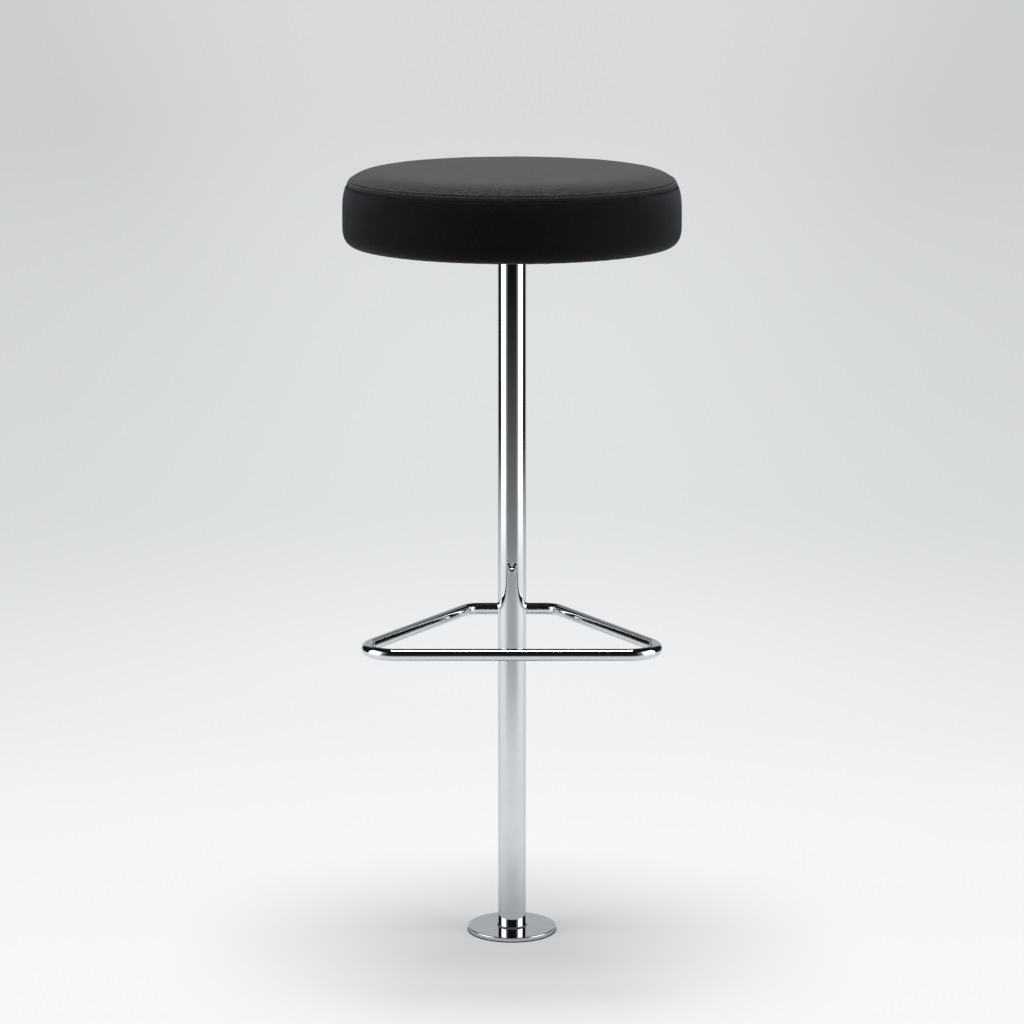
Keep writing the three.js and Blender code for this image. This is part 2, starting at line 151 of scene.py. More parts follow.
def share_forward(tree, y, length):
    """1 straight towards the front, 0 to either side and -1 straight behind."""
    forward = calc(tree, "MULTIPLY", y, -1.0)
    return calc(tree, "DIVIDE", forward, calc(tree, "MAXIMUM", length, 0.001))


def either(tree, share, first, second):
    """One of two shaders, or a mixture of both."""
    inputs = {0: share, 1: first.outputs[0], 2: second.outputs[0]}
    return add(tree, "ShaderNodeMixShader", inputs)


print("node helpers are ready")

# %% [markdown]
# Mirror chrome looks like whatever stands round it, so the studio is part of the finish. The
# stripes on the photo's column say what was there: a white softbox on each side, standing on the
# floor more than two metres away, darkness towards the camera, and a pale backdrop behind. One
# more softbox hangs high above and lights the top of the seat. Glowing planes could do this too,
# but area lamps light the cloth with less noise. The camera doesn't see them, and the chrome does.

# %% Softboxes
SIDE_BOX_BEARING = math.radians(74.0)
SIDE_BOX_DISTANCE = 2.35
SIDE_BOX_HEIGHT = 1.21
SIDE_BOX_SIZE = (1.93, 2.4)
SIDE_BOX_RADIANCE = 2.08
OVERHEAD_PLACE = (0, 0.25, 4.5)
OVERHEAD_AIM = (0, 0.25, 0)
OVERHEAD_SIZE = (1.5, 1.5)
OVERHEAD_RADIANCE = 15.5


def softbox(name, place, aim, size, radiance):
    """A rectangular lamp of a given brightness, facing a point."""
    width, height = size
    lamp = bpy.data.lights.new(name, "AREA")
    lamp.shape = "RECTANGLE"
    lamp.size, lamp.size_y = width, height
    lamp.energy = 4 * width * height * radiance
    holder = put_in_scene(name, lamp)
    holder.location = place
    holder.rotation_euler = (Vector(aim) - Vector(place)).to_track_quat("-Z", "Y").to_euler()
    holder.visible_camera = False


for side, name in ((-1, "softbox_left"), (1, "softbox_right")):
    aside = side * SIDE_BOX_DISTANCE * math.sin(SIDE_BOX_BEARING)
    forward = -SIDE_BOX_DISTANCE * math.cos(SIDE_BOX_BEARING)
    place, aim = (aside, forward, SIDE_BOX_HEIGHT), (0, 0, SIDE_BOX_HEIGHT)
    softbox(name, place, aim, SIDE_BOX_SIZE, SIDE_BOX_RADIANCE)
softbox("softbox_overhead", OVERHEAD_PLACE, OVERHEAD_AIM, OVERHEAD_SIZE, OVERHEAD_RADIANCE)

# %% [markdown]
# The world is the room beyond the softboxes. A picture of a studio could fill it, but a few fades
# need no picture, and each can be fitted by itself. The camera sees a pale grey, a little lighter
# straight behind the stool. Everything else, the chrome and the cloth, sees a dark studio with a
# pale backdrop behind, about 60 degrees wide, whose top edge is lower in its middle, and a dim
# spill of light round each softbox. Only the direction in the room decides the colour, so the room
# stays put when the camera moves. A direction is an arrow of length one. Its upward part is 0.5 at
# 30 degrees above the horizon, and its forward share is 1 towards the camera and 0 at either side.

# %% Room round the stool
BACKDROP_FAR = (0.597, 0.610, 0.617, 1)
BACKDROP_GLOW = (0.686, 0.699, 0.705, 1)
GLOW_EDGES = (-0.985, -0.9999)
BACKDROP_LIGHT = 0.61
SPILL_LIGHT = 0.34
STUDIO_DARK = 0.012
SPILL_EDGES = (0.86, 0.62)

world = bpy.data.worlds.new("studio_room")
bpy.context.scene.world = world
world.use_nodes = True
room = world.node_tree
room.nodes.clear()
across, depth, up = split(room, add(room, "ShaderNodeTexCoord").outputs["Generated"])
towards_camera = share_forward(room, depth, level_length(room, across, depth))

top_edge = ramp(room, towards_camera, -0.99, -0.93, 0.48, 0.68)
below_edge = ramp(room, up, top_edge, calc(room, "SUBTRACT", top_edge, 0.12))
darker_high = ramp(room, up, 0.55, 0.33, 0.66, 1.0, smooth=False)
wall = calc(room, "MULTIPLY", below_edge, darker_high)
behind = calc(room, "MULTIPLY", ramp(room, towards_camera, -0.86, -0.90), wall)

spill = calc(
    room,
    "MULTIPLY",
    ramp(room, towards_camera, *SPILL_EDGES, smooth=False),
    ramp(room, towards_camera, -0.25, -0.17),
    ramp(room, up, 0.80, 0.60),
)
backdrop_part = calc(room, "MULTIPLY", behind, BACKDROP_LIGHT)
spill_part = calc(room, "MULTIPLY", spill, SPILL_LIGHT)
seen_by_metal = calc(room, "ADD", backdrop_part, spill_part, STUDIO_DARK)
glow = ramp(room, towards_camera, *GLOW_EDGES)
seen_by_camera = blend_colour(room, glow, BACKDROP_FAR, BACKDROP_GLOW)

for_camera = add(room, "ShaderNodeLightPath").outputs["Is Camera Ray"]
metal_light = add(room, "ShaderNodeBackground", {"Color": seen_by_metal})
camera_light = add(room, "ShaderNodeBackground", {"Color": seen_by_camera})
room_light = either(room, for_camera, metal_light, camera_light)
add(room, "ShaderNodeOutputWorld", {"Surface": room_light.outputs[0]})
print("room has", len(room.nodes), "nodes")

# %% [markdown]
# Every mesh of this lesson is a list of points and a list of faces, because that gives each radius
# exactly and leaves no stray faces. Most shapes here are rings of points, one after another, with
# faces between them: a tube is a profile turned about the column's axis, and a rod is a circle
# carried along a line. One helper numbers the rings, one puts a skin on them, one turns a profile,
# and the last makes the Blender object, smooths it except at real edges, and lets it ride on its
# body.

# %% Helpers for meshes
def round_point(radius, angle, height):
    """A point in metres, from a radius, an angle about the column's axis and a height in mm."""
    return radius * MM * math.cos(angle), radius * MM * math.sin(angle), height * MM


def number_rings(start, count, size):
    """The numbers of the points in each of a count of rings that were listed one after another."""
    return [list(range(start + ring * size, start + (ring + 1) * size)) for ring in range(count)]


def skin(rings, closed=False, capped=False):
    """Faces between rings of point numbers, to the first ring again or with a cap at both ends."""
    faces = []
    pairs = list(zip(rings, rings[1:]))
    if closed:
        pairs.append((rings[-1], rings[0]))
    for first, second in pairs:
        for step in range(len(first)):
            after = (step + 1) % len(first)
            corners = [first[step], first[after], second[after], second[step]]
            face = [corner for place, corner in enumerate(corners) if corner not in corners[:place]]
            if len(face) > 2:
                faces.append(face)
    if capped:
        faces += [rings[0], rings[-1]]
    return faces


def turned(profile, sides, closed=True):
    """Points in metres and faces of a profile of (radius, height) in mm, turned about the axis."""
    points, rings = [], []
    for radius, height in profile:
        start, count = len(points), sides if radius > 1e-6 else 1
        points += [round_point(radius, 2 * math.pi * step / sides, height) for step in range(count)]
        rings.append([start + step % count for step in range(sides)])
    return points, skin(rings, closed)


def new_mesh(name, points, faces):
    """A mesh from points and faces, all of them facing outward."""
    mesh = bpy.data.meshes.new(name)
    mesh.from_pydata(points, [], faces)
    shape = bmesh.new()
    shape.from_mesh(mesh)
    bmesh.ops.recalc_face_normals(shape, faces=shape.faces)
    shape.to_mesh(mesh)
    shape.free()
    return mesh


def make_piece(name, points, faces, materials, body, sharp=38):
    """A smooth-shaded mesh object from points and faces, riding on a body."""
    mesh = new_mesh(name, points, faces)
    mesh.polygons.foreach_set("use_smooth", [True] * len(mesh.polygons))
    mesh.set_sharp_from_angle(angle=math.radians(sharp))
    for material in materials:
        mesh.materials.append(material)
    piece = put_in_scene(name, mesh)
    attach(piece, body)
    print(name, "has", len(mesh.polygons), "faces")
    return piece


# %% [markdown]
# The floor is one big pale sheet. A bare sheet would end in a horizon, and a curved backdrop would
# hide the stool from behind, so the sheet's colour does the work. Close to the stool it is a matt
# surface that takes the soft shadow of the seat and foot, with a thin painted contact shadow, a
# dark line where the foot stands on it. Further out the camera sees it turn into the colour of the
# room, from every side. All of that depends on places in the room, never on the camera. Distances
# are in metres from the column's axis.

# %% Floor as the camera sees it
FLOOR_NEAR = (0.887, 0.897, 0.909, 1)
FLOOR_MID = (0.745, 0.765, 0.775, 1)
FLOOR_MATT = (0.874, 0.884, 0.896, 1)
PAINTED_CONTACT_SHADOW = (0.04, 0.04, 0.04, 1)
PAINTED_CONTACT_SHADOW_EDGES = (0.0472, 0.0496)

floor_cloth = bpy.data.materials.new("studio_floor")
floor_cloth.use_nodes = True
tree = floor_cloth.node_tree
tree.nodes.clear()
far_x, far_y, _ = split(tree, add(tree, "ShaderNodeNewGeometry").outputs["Position"])
distance = level_length(tree, far_x, far_y)
facing = share_forward(tree, far_y, distance)

pale = blend_colour(tree, ramp(tree, distance, 0.70, 2.55), FLOOR_NEAR, FLOOR_MID)
# Painted light: further out the floor's glow is a little dimmer to either side, as a lamp's light
# falls off.
reach_aside = calc(tree, "ADD", calc(tree, "MULTIPLY", distance, 0.16), 0.45)
aside = calc(tree, "DIVIDE", calc(tree, "ABSOLUTE", far_x), reach_aside)
most_lost = ramp(tree, distance, 0.6, 3.8, 0.03, 0.105, smooth=False)
lost_aside = calc(tree, "MULTIPLY", ramp(tree, aside, 0.1, 1.1), most_lost)
falloff = calc(tree, "SUBTRACT", 1.0, lost_aside)
pale = add(tree, "ShaderNodeVectorMath", {0: pale, "Scale": falloff}, operation="SCALE").outputs[0]
far_colour = blend_colour(tree, ramp(tree, facing, *GLOW_EDGES), BACKDROP_FAR, BACKDROP_GLOW)
pale = blend_colour(tree, ramp(tree, distance, 2.6, 11.0), pale, far_colour)
# Painted contact shadow: a thin dark ring round the foot, on the painted and the matt floor alike.
clear_of_painted_contact_shadow = ramp(tree, distance, *PAINTED_CONTACT_SHADOW_EDGES)
pale = blend_colour(tree, clear_of_painted_contact_shadow, PAINTED_CONTACT_SHADOW, pale)
matt_colour = blend_colour(tree, clear_of_painted_contact_shadow, PAINTED_CONTACT_SHADOW, FLOOR_MATT)
print("floor colours take", len(tree.nodes), "nodes")

# %% [markdown]
# Chrome sees another floor. The higher a place on the column, the further away is the floor that
# it mirrors, so a change along a stripe is a change with distance here. Lamps and screens could
# make such a floor, but each would change every stripe at once, and these fades can be fitted one
# by one. Towards the camera the light falls away into darkness. Beside the stool the softboxes'
# light begins softly close by, is sharper and brighter further out, and has faded at about three
# metres. Behind, the floor gets darker with distance, and straight behind it turns into the
# backdrop.

# %% Floor as the chrome sees it
FRONT_LIGHT = 1.08
FRONT_REACH = 1.75
FRONT_POWER = 1.35

lift_fades = ramp(tree, distance, 2.12, 1.8, 0.0, 0.2)
lift = calc(tree, "MULTIPLY", ramp(tree, distance, 1.35, 1.8), lift_fades)
share_lost = calc(tree, "POWER", calc(tree, "DIVIDE", distance, FRONT_REACH), FRONT_POWER)
front_light = calc(tree, "EXPONENT", calc(tree, "MULTIPLY", share_lost, -1.0))
front_light = calc(tree, "MULTIPLY", front_light, FRONT_LIGHT, calc(tree, "ADD", lift, 1.0))
spill_strength = ramp(tree, distance, 1.8, 2.3, 0.0, SPILL_LIGHT)
spill_part = ramp(tree, facing, *SPILL_EDGES, 0.0, spill_strength, smooth=False)
spill_light = calc(tree, "ADD", front_light, spill_part)
side_near = ramp(tree, distance, 1.3, 1.6, 1.05, 1.15)
side_near = calc(tree, "ADD", side_near, ramp(tree, distance, 1.85, 2.35, 0.0, 0.32))
side_light = calc(tree, "MULTIPLY", side_near, ramp(tree, distance, 2.4, 2.8, 1.0, 0.08))
rear_light = ramp(tree, distance, 1.5, 3.3, 0.95, 0.012)
backdrop_light = ramp(tree, distance, 0.8, 2.6, 0.92, BACKDROP_LIGHT)

side_begins = ramp(tree, distance, 1.8, 2.3, 0.98, 0.66)
side_is_full = ramp(tree, distance, 1.8, 2.3, 0.32, 0.60)
sectors = (
    (ramp(tree, facing, 0.88, 0.86), spill_light),
    (ramp(tree, facing, side_begins, side_is_full), side_light),
    (ramp(tree, facing, -0.18, -0.25), rear_light),
    (ramp(tree, facing, -0.72, -0.80), backdrop_light),
)
metal_sees = front_light
for share, light in sectors:
    metal_sees = blend_value(tree, share, metal_sees, light)
print("the chrome's floor has", len(sectors) + 1, "sectors")

# %% [markdown]
# The two are put together. A real surface takes the shadow, and the painted one, which shines by
# itself, keeps its colour at any distance, so the first gives way to the second from half a metre
# on. From below the sheet is clear, because a view from there would otherwise see nothing else.

# %% Floor sheet
FLOOR_RADIUS = 24000
FLOOR_RINGS = (300, 1200, 4000)
FLOOR_SIDES = 96
PAINTED_NEAR = (0.2, 0.42)
PAINT_TAKES_OVER = (0.55, 1.25)

for_camera = add(tree, "ShaderNodeLightPath").outputs["Is Camera Ray"]
seen = blend_colour(tree, for_camera, metal_sees, pale)
painted = add(tree, "ShaderNodeEmission", {"Color": seen, "Strength": 1.0})
matt = add(tree, "ShaderNodeBsdfDiffuse", {"Color": matt_colour})
# Close to the stool a share of the painted glow is mixed in too, painted light that makes the seat's
# shadow on the floor paler.
near_share = ramp(tree, for_camera, 0.0, 1.0, *PAINTED_NEAR, smooth=False)
paint_share = calc(tree, "MAXIMUM", ramp(tree, distance, *PAINT_TAKES_OVER), near_share)
mixed = either(tree, paint_share, matt, painted)
clear = add(tree, "ShaderNodeBsdfTransparent")
from_below = add(tree, "ShaderNodeNewGeometry").outputs["Backfacing"]
surface = either(tree, from_below, mixed, clear)
add(tree, "ShaderNodeOutputMaterial", {"Surface": surface.outputs[0]})

floor_profile = [(radius, 0) for radius in (0, *FLOOR_RINGS, FLOOR_RADIUS)]
floor_mesh = new_mesh("floor_sheet", *turned(floor_profile, FLOOR_SIDES, closed=False))
if floor_mesh.polygons[0].normal.z < 0:
    floor_mesh.flip_normals()
floor_mesh.materials.append(floor_cloth)
floor = put_in_scene("floor_sheet", floor_mesh)
print("floor is", 2 * FLOOR_RADIUS * MM, "m across")

# %% [markdown]
# Several finishes share an effect: faint hazy patches where hands, shoes and cloths have touched a
# smooth surface, and hairline scratches. A painted picture could hold them, but noise needs no UV
# map and never repeats. Each effect is one node group. It gives out only values that change over
# the surface, and the material decides what to do with them.

# %% Shared effect: handling marks
def start_group(name, inputs, outputs):
    """A new node group with named inputs and outputs. Inputs come with their default values."""
    group = bpy.data.node_groups.new(name, "ShaderNodeTree")
    for label, value in inputs.items():
        kind = "NodeSocketVector" if isinstance(value, tuple) else "NodeSocketFloat"
        socket = group.interface.new_socket(label, in_out="INPUT", socket_type=kind)
        socket.default_value = value
    for label in outputs:
        group.interface.new_socket(label, in_out="OUTPUT", socket_type="NodeSocketFloat")
    return group, group.nodes.new("NodeGroupInput").outputs, group.nodes.new("NodeGroupOutput")


def noise(tree, where, scale, detail=2.0, **more):
    """The outputs of a cloudy pattern in space: Fac for one value, Color for three."""
    inputs = {"Vector": where, "Scale": scale, "Detail": detail, **more}
    return add(tree, "ShaderNodeTexNoise", inputs).outputs


def stretched(tree, vector, factors):
    """A vector whose three parts are multiplied by three factors."""
    inputs = {0: vector, 1: factors}
    return add(tree, "ShaderNodeVectorMath", inputs, operation="MULTIPLY").outputs[0]


inputs = {"Patch Scale": 30.0, "Clean": 0.03, "Touched": 0.09, "Scratch Scale": 900.0}
tree, given, put_out = start_group("handling_marks", inputs, ["Roughness", "Patches", "Height"])
where = add(tree, "ShaderNodeTexCoord").outputs["Object"]
patches = noise(tree, where, given["Patch Scale"], 5.0, Roughness=0.62)["Fac"]
touched = ramp(tree, patches, 0.50, 0.74)
rough = ramp(tree, touched, 0.0, 1.0, given["Clean"], given["Touched"], smooth=False)
drawn_out = stretched(tree, where, (1.0, 1.0, 0.05))
hairlines = noise(tree, drawn_out, given["Scratch Scale"])["Fac"]
join(tree, put_out, {"Roughness": rough, "Patches": touched, "Height": hairlines})
marks_group = tree
print("group", marks_group.name, "has", len(marks_group.nodes), "nodes")

# %% [markdown]
# Turned and cut steel carries fine rings round its axis from the lathe. The shader's own
# anisotropy would stretch the highlights as such rings do, but it shows no ring up close. Here
# they are a noise that only depends on the distance from the column's axis and on the height.

# %% Shared effect: turning rings
inputs = {"Ring Scale": 1600.0}
tree, given, put_out = start_group("turning_rings", inputs, ["Shade", "Height"])
x, y, z = split(tree, add(tree, "ShaderNodeTexCoord").outputs["Object"])
from_axis = level_length(tree, x, y)
section = add(tree, "ShaderNodeCombineXYZ", {"X": from_axis, "Y": 0.0, "Z": z}).outputs[0]
lines = noise(tree, section, given["Ring Scale"], 3.0)["Fac"]
join(tree, put_out, {"Shade": ramp(tree, lines, 0.3, 0.7), "Height": lines})
rings_group = tree
print("group", rings_group.name, "has", len(rings_group.nodes), "nodes")

# %% [markdown]
# Woven cloth is two sets of yarns that pass over and under each other. Threads as real geometry
# would be millions of faces, so the weave is a relief. The sine of one direction times the sine of
# the other says which set is on top, and the absolute sine of each gives the round back of a yarn.
# Noise bends the yarns a little and makes some fibres paler. The flecks of a heathered cloth are
# tiny cells, each with its own value, which also raises it. The material hands in the flat
# position on its own panel, so the weave needs no UV map.

# %% Shared effect: cloth weave
SWAY_SCALE = 260.0
SWAY = 0.0005
FLECK_SCALE = 950.0

inputs = {
    "Panel Position": (0.0, 0.0, 0.0),
    "Yarn Pitch": 0.0007,
    "Fibre Scale": 900.0,
    "Nap Relief": 2.0,
}
tree, given, put_out = start_group("cloth_weave", inputs, ["Shade", "Mottle", "Height"])
flat = given["Panel Position"]
sway = stretched(tree, noise(tree, flat, SWAY_SCALE)["Color"], (SWAY, SWAY, 0.0))
swayed = add(tree, "ShaderNodeVectorMath", {0: flat, 1: sway}, operation="ADD").outputs[0]
waves = []
for position in split(tree, swayed)[:2]:
    yarn_count = calc(tree, "DIVIDE", position, given["Yarn Pitch"])
    waves.append(calc(tree, "SINE", calc(tree, "MULTIPLY", yarn_count, math.pi)))
over = ramp(tree, calc(tree, "MULTIPLY", *waves), -0.25, 0.25)
backs = [calc(tree, "ABSOLUTE", wave) for wave in waves]
lifted = blend_value(tree, over, backs[1], backs[0])
fibres = noise(tree, flat, given["Fibre Scale"], 3.0, Roughness=0.7)["Fac"]
cells = add(tree, "ShaderNodeTexVoronoi", {"Vector": flat, "Scale": FLECK_SCALE}).outputs["Color"]
fleck = split(tree, cells)[0]
# Painted shade: each yarn is darker in the dips beside its round back. The fibre noise is the yarns'
# own tone.
yarn_painted_shade = ramp(tree, lifted, 0.0, 1.0, 0.45, 1.0)
shade = calc(tree, "MULTIPLY", yarn_painted_shade, ramp(tree, fibres, 0.3, 0.7, 0.7, 1.1))
fibre_relief = calc(tree, "MULTIPLY", fibres, 0.5)
nap_relief = calc(tree, "MULTIPLY", fleck, given["Nap Relief"])
height = calc(tree, "ADD", lifted, fibre_relief, nap_relief)
mottle = ramp(tree, fleck, 0.4, 0.9, smooth=False)
join(tree, put_out, {"Shade": shade, "Mottle": mottle, "Height": height})
weave_group = tree
print("group", weave_group.name, "has", len(weave_group.nodes), "nodes")

# %% [markdown]
# The column, the footrest and the foot's cover are polished and chromed. Chrome is a metal with a
# nearly neutral colour that returns about two thirds of the light. Its roughness is tiny and
# rises a little where it has been touched, and the hairlines are far too shallow to blur it.
# Every finish starts with a Principled shader, whose constant values are typed straight into its
# own sockets. What changes over the surface is joined to it afterwards.

# %% Finish: chrome
MARK_INPUTS = ("Patch Scale", "Clean", "Touched", "Scratch Scale")


def start_finish(name, **constants):
    """A new material: its node tree and its Principled shader, with constant values set on it."""
    material = bpy.data.materials.new(name)
    material.use_nodes = True
    shader = material.node_tree.nodes["Principled BSDF"]
    for socket, value in constants.items():
        shader.inputs[socket.replace("_", " ")].default_value = value
    return material, material.node_tree, shader


def place_group(tree, group, inputs):
    """The outputs of a group that is placed in a material with the material's own values."""
    return add(tree, "ShaderNodeGroup", inputs, node_tree=group).outputs


def cover_shader(tree, shader, colour, height, relief, **others):
    """Joins a colour, a height and more to a shader. Relief is the bump's strength and distance."""
    strength, distance = relief
    inputs = {"Height": height, "Strength": strength, "Distance": distance}
    bump = add(tree, "ShaderNodeBump", inputs)
    join(tree, shader, {"Base Color": colour, "Normal": bump.outputs[0], **others})


def marked_finish(name, clean, touched, marks, relief, **constants):
    """A smooth finish with handling marks that blend its two colours, clean and touched."""
    material, tree, shader = start_finish(name, **constants)
    worn = place_group(tree, marks_group, dict(zip(MARK_INPUTS, marks)))
    colour = blend_colour(tree, worn["Patches"], clean, touched)
    cover_shader(tree, shader, colour, worn["Height"], relief, Roughness=worn["Roughness"])
    return material


def chrome(name, patch_scale, touched):
    """Polished chrome, with its own size and strength of handling marks."""
    return marked_finish(
        name,
        (0.650, 0.670, 0.688, 1),
        (0.620, 0.639, 0.656, 1),
        marks=(patch_scale, 0.015, touched, 700.0),
        relief=(0.02, 0.00001),
        Metallic=1.0,
        Specular_Tint=(0.80, 0.82, 0.84, 1),
    )


column_chrome = chrome("column_chrome", 22.0, 0.03)
footrest_chrome = chrome("footrest_chrome", 38.0, 0.035)
foot_chrome = chrome("foot_chrome", 45.0, 0.04)
print("chrome finishes:", column_chrome.name, footrest_chrome.name, foot_chrome.name)

# %% [markdown]
# The column is a plain tube, 30 mm across. A many-sided turned tube looks round enough. Its two
# set screw holes at the rear could be worked into the tube's faces by hand, but a boolean cuts
# them in one step. That leaves slivers and uneven faces, so the slivers are merged, and the wall's
# normals are set to point exactly away from the axis, which keeps the reflections straight.

# %% Column
COLUMN_RADIUS = 15.0
COLUMN_BORE_RADIUS = 13.0
COLUMN_EDGE = 0.35
COLUMN_SIDES = 128
# The rings above and below each hole and stub keep the faces that are cut there short.
COLUMN_RINGS = [20, 36, 50, 66, 200, 340, 376, 560]
SET_SCREW_HEIGHTS = (28.0, 58.0)
SET_SCREW_HOLE_RADIUS = 3.3
HOLE_DEPTHS = (8, 20)
HOLE_SIDES = 32
SLIVER = 0.005 * MM
ON_WALL = 0.02 * MM
FACING_OUT = 0.9


def shown_mesh(thing):
    """The mesh of an object as its modifiers show it."""
    seen = thing.evaluated_get(bpy.context.evaluated_depsgraph_get())
    return bpy.data.meshes.new_from_object(seen)


def drill(piece, height):
    """Cuts a hole into the rear of a piece at a height in mm."""
    near, far = HOLE_DEPTHS
    radius = SET_SCREW_HOLE_RADIUS
    bit = [(0, near), (radius, near), (radius, far), (0, far)]
    points, faces = turned(bit, HOLE_SIDES, closed=False)
    lying = [(x, z, height * MM + y) for x, y, z in points]
    cutter = put_in_scene("hole_cutter", new_mesh("hole_cutter", lying, faces))
    cut = piece.modifiers.new("set_screw_hole", "BOOLEAN")
    cut.operation = "DIFFERENCE"
    cut.solver = "EXACT"
    cut.object = cutter
    drilled = shown_mesh(piece)
    piece.modifiers.clear()
    piece.data = drilled
    bpy.data.objects.remove(cutter)


low, high = (corner.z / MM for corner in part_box("column_tube"))
heights = [low + COLUMN_EDGE, *COLUMN_RINGS, high - COLUMN_EDGE]
profile = (
    [(COLUMN_BORE_RADIUS, low), (COLUMN_RADIUS - COLUMN_EDGE, low)]
    + [(COLUMN_RADIUS, height) for height in heights]
    + [(COLUMN_RADIUS - COLUMN_EDGE, high), (COLUMN_BORE_RADIUS, high)]
)
column = make_piece("column_post", *turned(profile, COLUMN_SIDES), [column_chrome], "post")
for height in SET_SCREW_HEIGHTS:
    drill(column, height)

wall = column.data
wall.name = "column_post"
shape = bmesh.new()
shape.from_mesh(wall)
bmesh.ops.remove_doubles(shape, verts=shape.verts, dist=SLIVER)
bmesh.ops.dissolve_degenerate(shape, edges=shape.edges, dist=SLIVER)
shape.to_mesh(wall)
shape.free()

normals = []
for face in wall.polygons:
    for corner in face.vertices:
        spot = wall.vertices[corner].co
        out = Vector((spot.x, spot.y, 0))
        at_wall = abs(out.length - COLUMN_RADIUS * MM) < ON_WALL
        outside = at_wall and face.normal.dot(out.normalized()) > FACING_OUT
        normals.append(out.normalized() if outside else Vector((0, 0, 0)))
wall.normals_split_custom_set(normals)
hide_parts("column_tube")
print("column is", round(high - low, 1), "mm long and has", len(wall.polygons), "faces now")

# %% [markdown]
# The footrest is one rod, bent in a plane into a rounded triangle whose ends are welded to the
# column's sides. Like the real one it starts as a line with bends of known radii: straight
# stretches joined by arcs. Each point keeps its heading for the next step. The ends go a little
# way into the column's wall, so that no gap shows beside the weld.

# %% Footrest line
ROD_RADIUS = 6.25
FOOTREST_HEIGHT = 357.7
FOOTREST_REACH = 213.5
STUB_REACH = 46.0
ARM_ANGLE = math.radians(60)
STUB_BEND_RADIUS = 20.0
CORNER_RADIUS = 30.0
END_SUNK = 0.9
BEND_STEPS = 20


def bend(corner_x, corner_y, radius, heading, turn):
    """Points and headings of an arc that replaces a corner of the line, turning clockwise."""
    setback = radius * math.tan(turn / 2)
    start = Vector((corner_x - setback * math.cos(heading), corner_y - setback * math.sin(heading)))
    centre = start + radius * Vector((math.sin(heading), -math.cos(heading)))
    stations = []
    for step in range(BEND_STEPS + 1):
        way = heading - turn * step / BEND_STEPS
        stations.append((centre + radius * Vector((-math.sin(way), math.cos(way))), way))
    return stations


corner_x = STUB_REACH + FOOTREST_REACH / math.tan(ARM_ANGLE)
corner_turn = math.pi - ARM_ANGLE
rod_line = (
    [(Vector((COLUMN_RADIUS - END_SUNK, 0)), 0.0)]
    + bend(STUB_REACH, 0, STUB_BEND_RADIUS, 0, ARM_ANGLE)
    + bend(corner_x, -FOOTREST_REACH, CORNER_RADIUS, -ARM_ANGLE, corner_turn)
    + bend(-corner_x, -FOOTREST_REACH, CORNER_RADIUS, -math.pi, corner_turn)
    + bend(-STUB_REACH, 0, STUB_BEND_RADIUS, ARM_ANGLE, ARM_ANGLE)
    + [(Vector((-COLUMN_RADIUS + END_SUNK, 0)), 0.0)]
)
rod_length = sum((after[0] - before[0]).length for before, after in zip(rod_line, rod_line[1:]))
print("footrest rod is", round(rod_length), "mm long")

# %% [markdown]
# A curve with a round bevel would turn this line into a rod. A circle of points carried along it
# does the same, but its ends are closed as well, and every ring is exactly where the line says.
# The circle stands square to the line at each point.

# %% Footrest rod
ROD_SIDES = 48

points = []
for place, way in rod_line:
    for step in range(ROD_SIDES):
        angle = 2 * math.pi * step / ROD_SIDES
        sideways = ROD_RADIUS * math.cos(angle)
        across, back = place.x - sideways * math.sin(way), place.y + sideways * math.cos(way)
        rise = FOOTREST_HEIGHT + ROD_RADIUS * math.sin(angle)
        points.append((across * MM, back * MM, rise * MM))
faces = skin(number_rings(0, len(rod_line), ROD_SIDES), capped=True)
footrest = make_piece("footrest_rod", points, faces, [footrest_chrome], "post")
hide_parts("footrest")

# %% [markdown]
# A weld bead runs round each end of the rod. A squashed ring would be quicker, but the bead fills
# the corner between two crossing round surfaces, so its inner edge follows a saddle curve. Here it
# is a strip across that corner, a little proud, with the slight ripple that plating leaves on a
# welder's bead. A root inside the column's wall closes the strip, so that the bead is a solid of
# its own.

# %% Weld beads
WELD_LEG = 1.1
WELD_SIDES = 96
WELD_STEPS = 6
WELD_BITE = 0.05
WELD_PROUD = 0.14
WELD_HOLLOW = 0.35
WELD_ROOT = 0.6
RIPPLES = 26


def weld_section(angle, side):
    """The bead's section at an angle round the rod, as distances from the column and rod axes."""
    ripple = 1 + 0.10 * math.sin(RIPPLES * angle) + 0.06 * math.sin(7 * angle + side)
    leg = WELD_LEG * (1 + 0.05 * math.sin(3 * angle + 0.7 * side))
    wide = ROD_RADIUS + leg
    wall_at_rod = math.sqrt(COLUMN_RADIUS**2 - (ROD_RADIUS * math.cos(angle)) ** 2)
    wall_at_leg = math.sqrt(COLUMN_RADIUS**2 - (wide * math.cos(angle)) ** 2)
    on_rod = (wall_at_rod + leg, ROD_RADIUS - WELD_BITE)
    on_column = (wall_at_leg - WELD_BITE, wide)
    section = []
    for step in range(WELD_STEPS + 1):
        share = step / WELD_STEPS
        arch = math.sin(math.pi * share)
        proud = WELD_PROUD * arch * ripple
        out = on_rod[0] + (on_column[0] - on_rod[0]) * share + proud
        reach = on_rod[1] + (on_column[1] - on_rod[1]) * share + proud - WELD_HOLLOW * arch
        section.append((out, reach))
    return section + [(COLUMN_RADIUS - WELD_ROOT, ROD_RADIUS - WELD_ROOT)]


points, faces = [], []
for side in (-1, 1):
    faces += skin(number_rings(len(points), WELD_SIDES, WELD_STEPS + 2), closed=True)
    for step in range(WELD_SIDES):
        angle = 2 * math.pi * step / WELD_SIDES
        for out, reach in weld_section(angle, side):
            rise = FOOTREST_HEIGHT + reach * math.sin(angle)
            points.append((side * out * MM, reach * math.cos(angle) * MM, rise * MM))
welds = make_piece("footrest_welds", points, faces, [footrest_chrome], "post", sharp=60)
